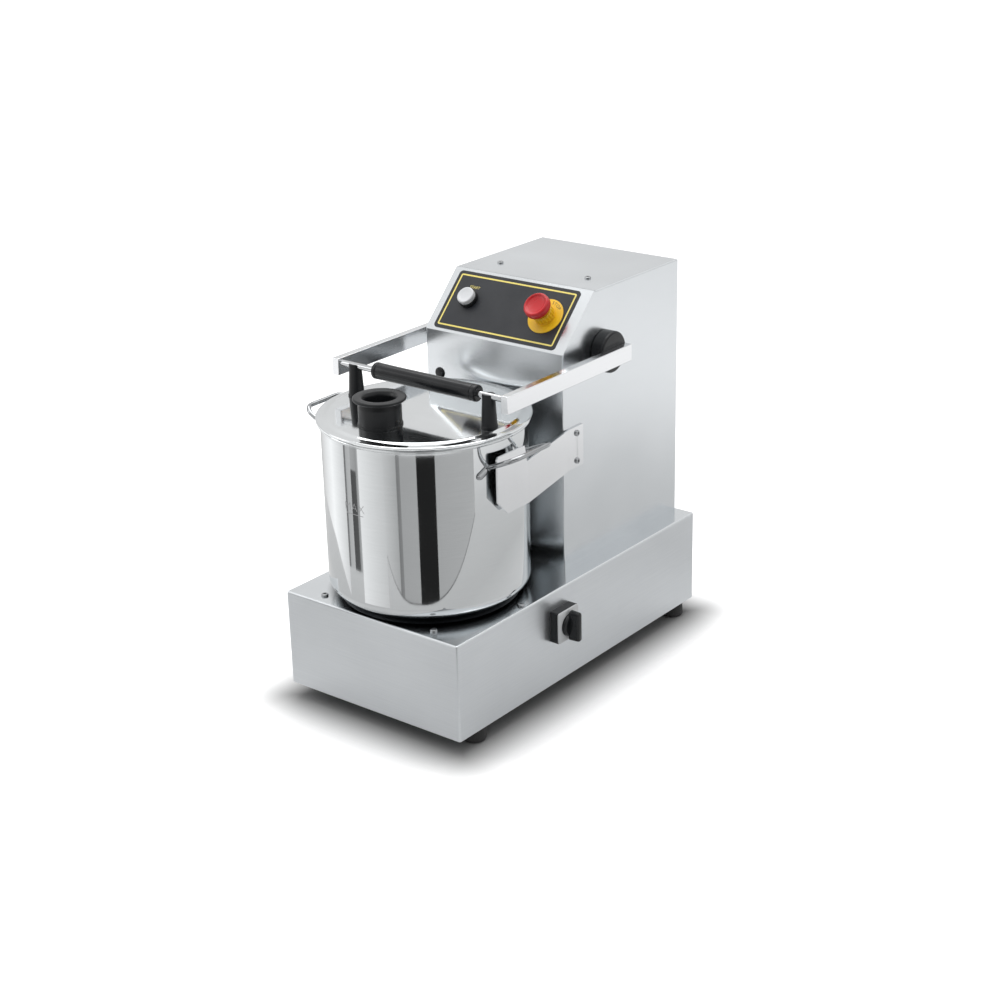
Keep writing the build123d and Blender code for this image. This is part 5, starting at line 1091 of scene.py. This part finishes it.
def floor_material():
    """Diffuse floor. To the camera: 0.19 + 1.05 smooth(distance outside the base's outline), a
    deep painted contact shadow that ends in white. In reflections: a painted pool of light,
    brighter far out."""
    material = bpy.data.materials.new("studio_floor")
    tree = fresh(material)
    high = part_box("base_housing")[1]
    where = add(tree, "TexCoord").outputs["Object"]
    beyond = vectors(tree, "SUBTRACT", vectors(tree, "ABSOLUTE", where), (high[0], high[1], 0.0))
    away = vectors(tree, "LENGTH", vectors(tree, "MAXIMUM", beyond))
    parts = add(tree, "SeparateXYZ", [(0, beyond)]).outputs
    inside = sums(tree, "MINIMUM", sums(tree, "MAXIMUM", parts[0], parts[1]), 0.0)
    # Painted contact shadow: the floor's colour to the camera darkens towards the base's outline.
    shade = ranged(tree, sums(tree, "ADD", away, inside), -0.025, 0.095, 0.19, 1.24, True)
    # Painted light: the floor seen in reflections is lighter the farther it is from the middle.
    out = sums(tree, "MULTIPLY", vectors(tree, "LENGTH", where), 0.5)
    pool = add(tree, "ValToRGB", [(0, out)])
    stops = pool.color_ramp.elements
    stops[0].position, stops[0].color = 0.18, (0.66, 0.66, 0.66, 1)
    stops[1].position, stops[1].color = 0.80, (0.92, 0.92, 0.92, 1)
    for place, tone in ((0.30, 0.50), (0.50, 0.58), (0.64, 0.78)):
        stops.new(place).color = (tone, tone, tone, 1)
    path = add(tree, "LightPath").outputs
    shine = mixed(tree, path["Is Glossy Ray"], 0.50, pool.outputs["Color"])
    level = mixed(tree, path["Is Camera Ray"], shine, shade)
    colour = add(tree, "CombineColor", [(k, level) for k in range(3)]).outputs[0]
    diffuse = add(tree, "BsdfDiffuse", [("Color", colour)])
    add(tree, "OutputMaterial", [(0, diffuse.outputs[0])])
    return material


ground = bpy.data.meshes.new("studio_floor")
ground.from_pydata([(-FAR, -FAR, 0), (FAR, -FAR, 0), (FAR, FAR, 0), (-FAR, FAR, 0)], [], [(0, 1, 2, 3)])
ground.materials.append(floor_material())
show("studio_floor", ground)

# %% [markdown]
# ## Cards round the bowl
# The wall stands upright and the camera looks down on it, so the wall mirrors what stands low
# and near: a photographer places cards there, out of the picture, to draw the bowl's form. Each
# card is a strip of a cylinder round the bowl's axis. Its light fades evenly from one end to
# the other, carried by a number on every point, so one material does for all.

# %% Curved cards with a fading tone
def card_material():
    """Emission strength = the point's own tone."""
    material = bpy.data.materials.new("studio_card")
    tree = fresh(material)
    tone = add(tree, "Attribute", attribute_name="tone").outputs["Fac"]
    glow = add(tree, "Emission", [("Strength", tone)]).outputs[0]
    add(tree, "OutputMaterial", [(0, glow)])
    return material


CARD = card_material()
CARD_R = 0.46
CARD_TOP = 0.305
LOWEST_AT = 29  # degrees round from the front to the hem's lowest place
HEM_EDGE = (0.0025, 0.004)  # the dimmed line at the lower edge, and the fade above it


def hem(degrees):
    """Height of the lower edge in metres: flat at its lowest place, and rising as a power of the
    angle on both sides."""
    left = np.clip((LOWEST_AT - degrees) / 29, 0, None) ** 3
    right = np.clip((degrees - LOWEST_AT) / 56, 0, None) ** 2.8
    return 0.046 + 0.080 * left + 0.142 * right


def curved_card(name, start, end, tones, low=None, high=CARD_TOP, line=1.0, steps=33):
    """point(a, h) = bowl axis + R (sin a, -cos a), with h from the lower edge (the heights of its
    two ends, or the hem) up to high; line dims that edge."""
    degrees = np.linspace(start, end, steps)[:, None]
    a = np.radians(degrees)
    low = hem(degrees) if low is None else np.linspace(*low, steps)[:, None]
    h = np.concatenate([low, *(low + up for up in HEM_EDGE), np.full_like(low, high)], 1)
    points = [CARD_R * np.sin(a) + 0 * h, BOWL[1] * MM - CARD_R * np.cos(a) + 0 * h, h]
    k = (np.arange(steps - 1)[:, None] * 4 + np.arange(3)).ravel()
    faces = np.stack([k, k + 4, k + 5, k + 1], -1)
    mesh = bpy.data.meshes.new(name)
    mesh.from_pydata(np.stack(points, -1).reshape(-1, 3).tolist(), [], faces.tolist())
    tone = np.linspace(*tones, steps)[:, None] * (line, line, 1, 1)
    mesh.attributes.new("tone", "FLOAT", "POINT").data.foreach_set("value", tone.ravel())
    mesh.materials.append(CARD)
    card = show(name, mesh)
    card.visible_camera = card.visible_shadow = card.visible_diffuse = False


POST_LOW, POST_TOP = (0.083, 0.083), 0.258
curved_card("card_left_end", -110, -70, (0.55, 1.25), (0.20, 0.115))
curved_card("card_left", -70, -47, (1.25, 0.85), (0.115, 0.030))
curved_card("card_post_edge", -47, -44.5, (0.20, 0.25), POST_LOW)
curved_card("card_post", -44.5, -38, (0.55, 0.62), POST_LOW)
curved_card("card_post_dark", -38, -31, (0.10, 0.12), POST_LOW, POST_TOP)
curved_card("card_post_top", -38, -31, (0.50, 0.42), (POST_TOP, POST_TOP))
curved_card("card_post_end", -31, -28, (0.35, 0.55), POST_LOW)
curved_card("card_front", -28, 0, (1.05, 0.72), (0.030, 0.030))
curved_card("card_front_end", 0, 12.5, (0.70, 0.50), line=0.4)
curved_card("card_seam", 12.5, 16, (0.24, 0.30), line=0.5)
curved_card("card_middle", 16, 31.5, (0.46, 0.48), line=0.4)
curved_card("card_dark", 31.5, 48.5, (0.02, 0.02))
curved_card("card_right", 48.5, 85.5, (0.48, 0.54), line=0.4)

# %% World and lamps: the surround is lighter upwards and dim on one side, and white to the camera
world = bpy.data.worlds.new("studio")
bpy.context.scene.world = world
tree = fresh(world)
way = add(tree, "TexCoord").outputs["Generated"]
up = add(tree, "SeparateXYZ", [(0, way)]).outputs["Z"]
dark_side = vectors(tree, "DOT_PRODUCT", way, (0.62, -0.77, 0.10))
lit = sums(tree, "MULTIPLY", ranged(tree, up, -0.05, 0.9, 0.66, 1.02),
           ranged(tree, dark_side, 0.72, 0.90, 1.0, 0.26, True))
level = mixed(tree, add(tree, "LightPath").outputs["Is Camera Ray"], lit, 1.0)
background = add(tree, "Background", [("Color", (1, 1, 1, 1)), ("Strength", level)])
add(tree, "OutputWorld", [(0, background.outputs[0])])


def softbox(name, place, aim, size, power):
    """Rectangular area lamp at a place in metres, turned towards aim."""
    lamp = bpy.data.lights.new(name, "AREA")
    lamp.shape = "RECTANGLE"
    lamp.size, lamp.size_y = size
    lamp.energy = power
    holder = show(name, lamp)
    holder.location = place
    holder.rotation_euler = (Vector(aim) - Vector(place)).to_track_quat("-Z", "Y").to_euler()


softbox("top_box", (-0.3, 0.5, 2.6), (0, 0, 0.2), (2.4, 2.0), 34)
softbox("left_box", (-2.6, -1.6, 1.6), (0, 0, 0.3), (1.4, 1.8), 10)

# %% Camera
view = bpy.context.scene.view_settings
view.view_transform = "Standard"
view.look = "None"


def look(target, azimuth, elevation, roll, distance, lens):
    """Camera at distance from the target; its axes are the right, up and back directions, rolled."""
    a, e, r = (math.radians(x) for x in (azimuth, elevation, roll))
    back = Vector((math.sin(a) * math.cos(e), -math.cos(a) * math.cos(e), math.sin(e)))
    right = (-back).cross(Vector((0, 0, 1))).normalized()
    up = right.cross(-back)
    x_axis = right * math.cos(r) + up * math.sin(r)
    y_axis = up * math.cos(r) - right * math.sin(r)
    turn = Matrix((x_axis, y_axis, back)).transposed().to_4x4()
    camera = show("camera", bpy.data.cameras.new("camera"))
    camera.matrix_world = Matrix.Translation(Vector(target) * MM + back * distance * MM) @ turn
    camera.data.sensor_width = 36.0
    camera.data.lens = lens
    bpy.context.scene.camera = camera


look(target=(0.0, 2.805, 247.259), azimuth=38.517, elevation=21.662, roll=-1.407,
     distance=2813.557, lens=68.175)
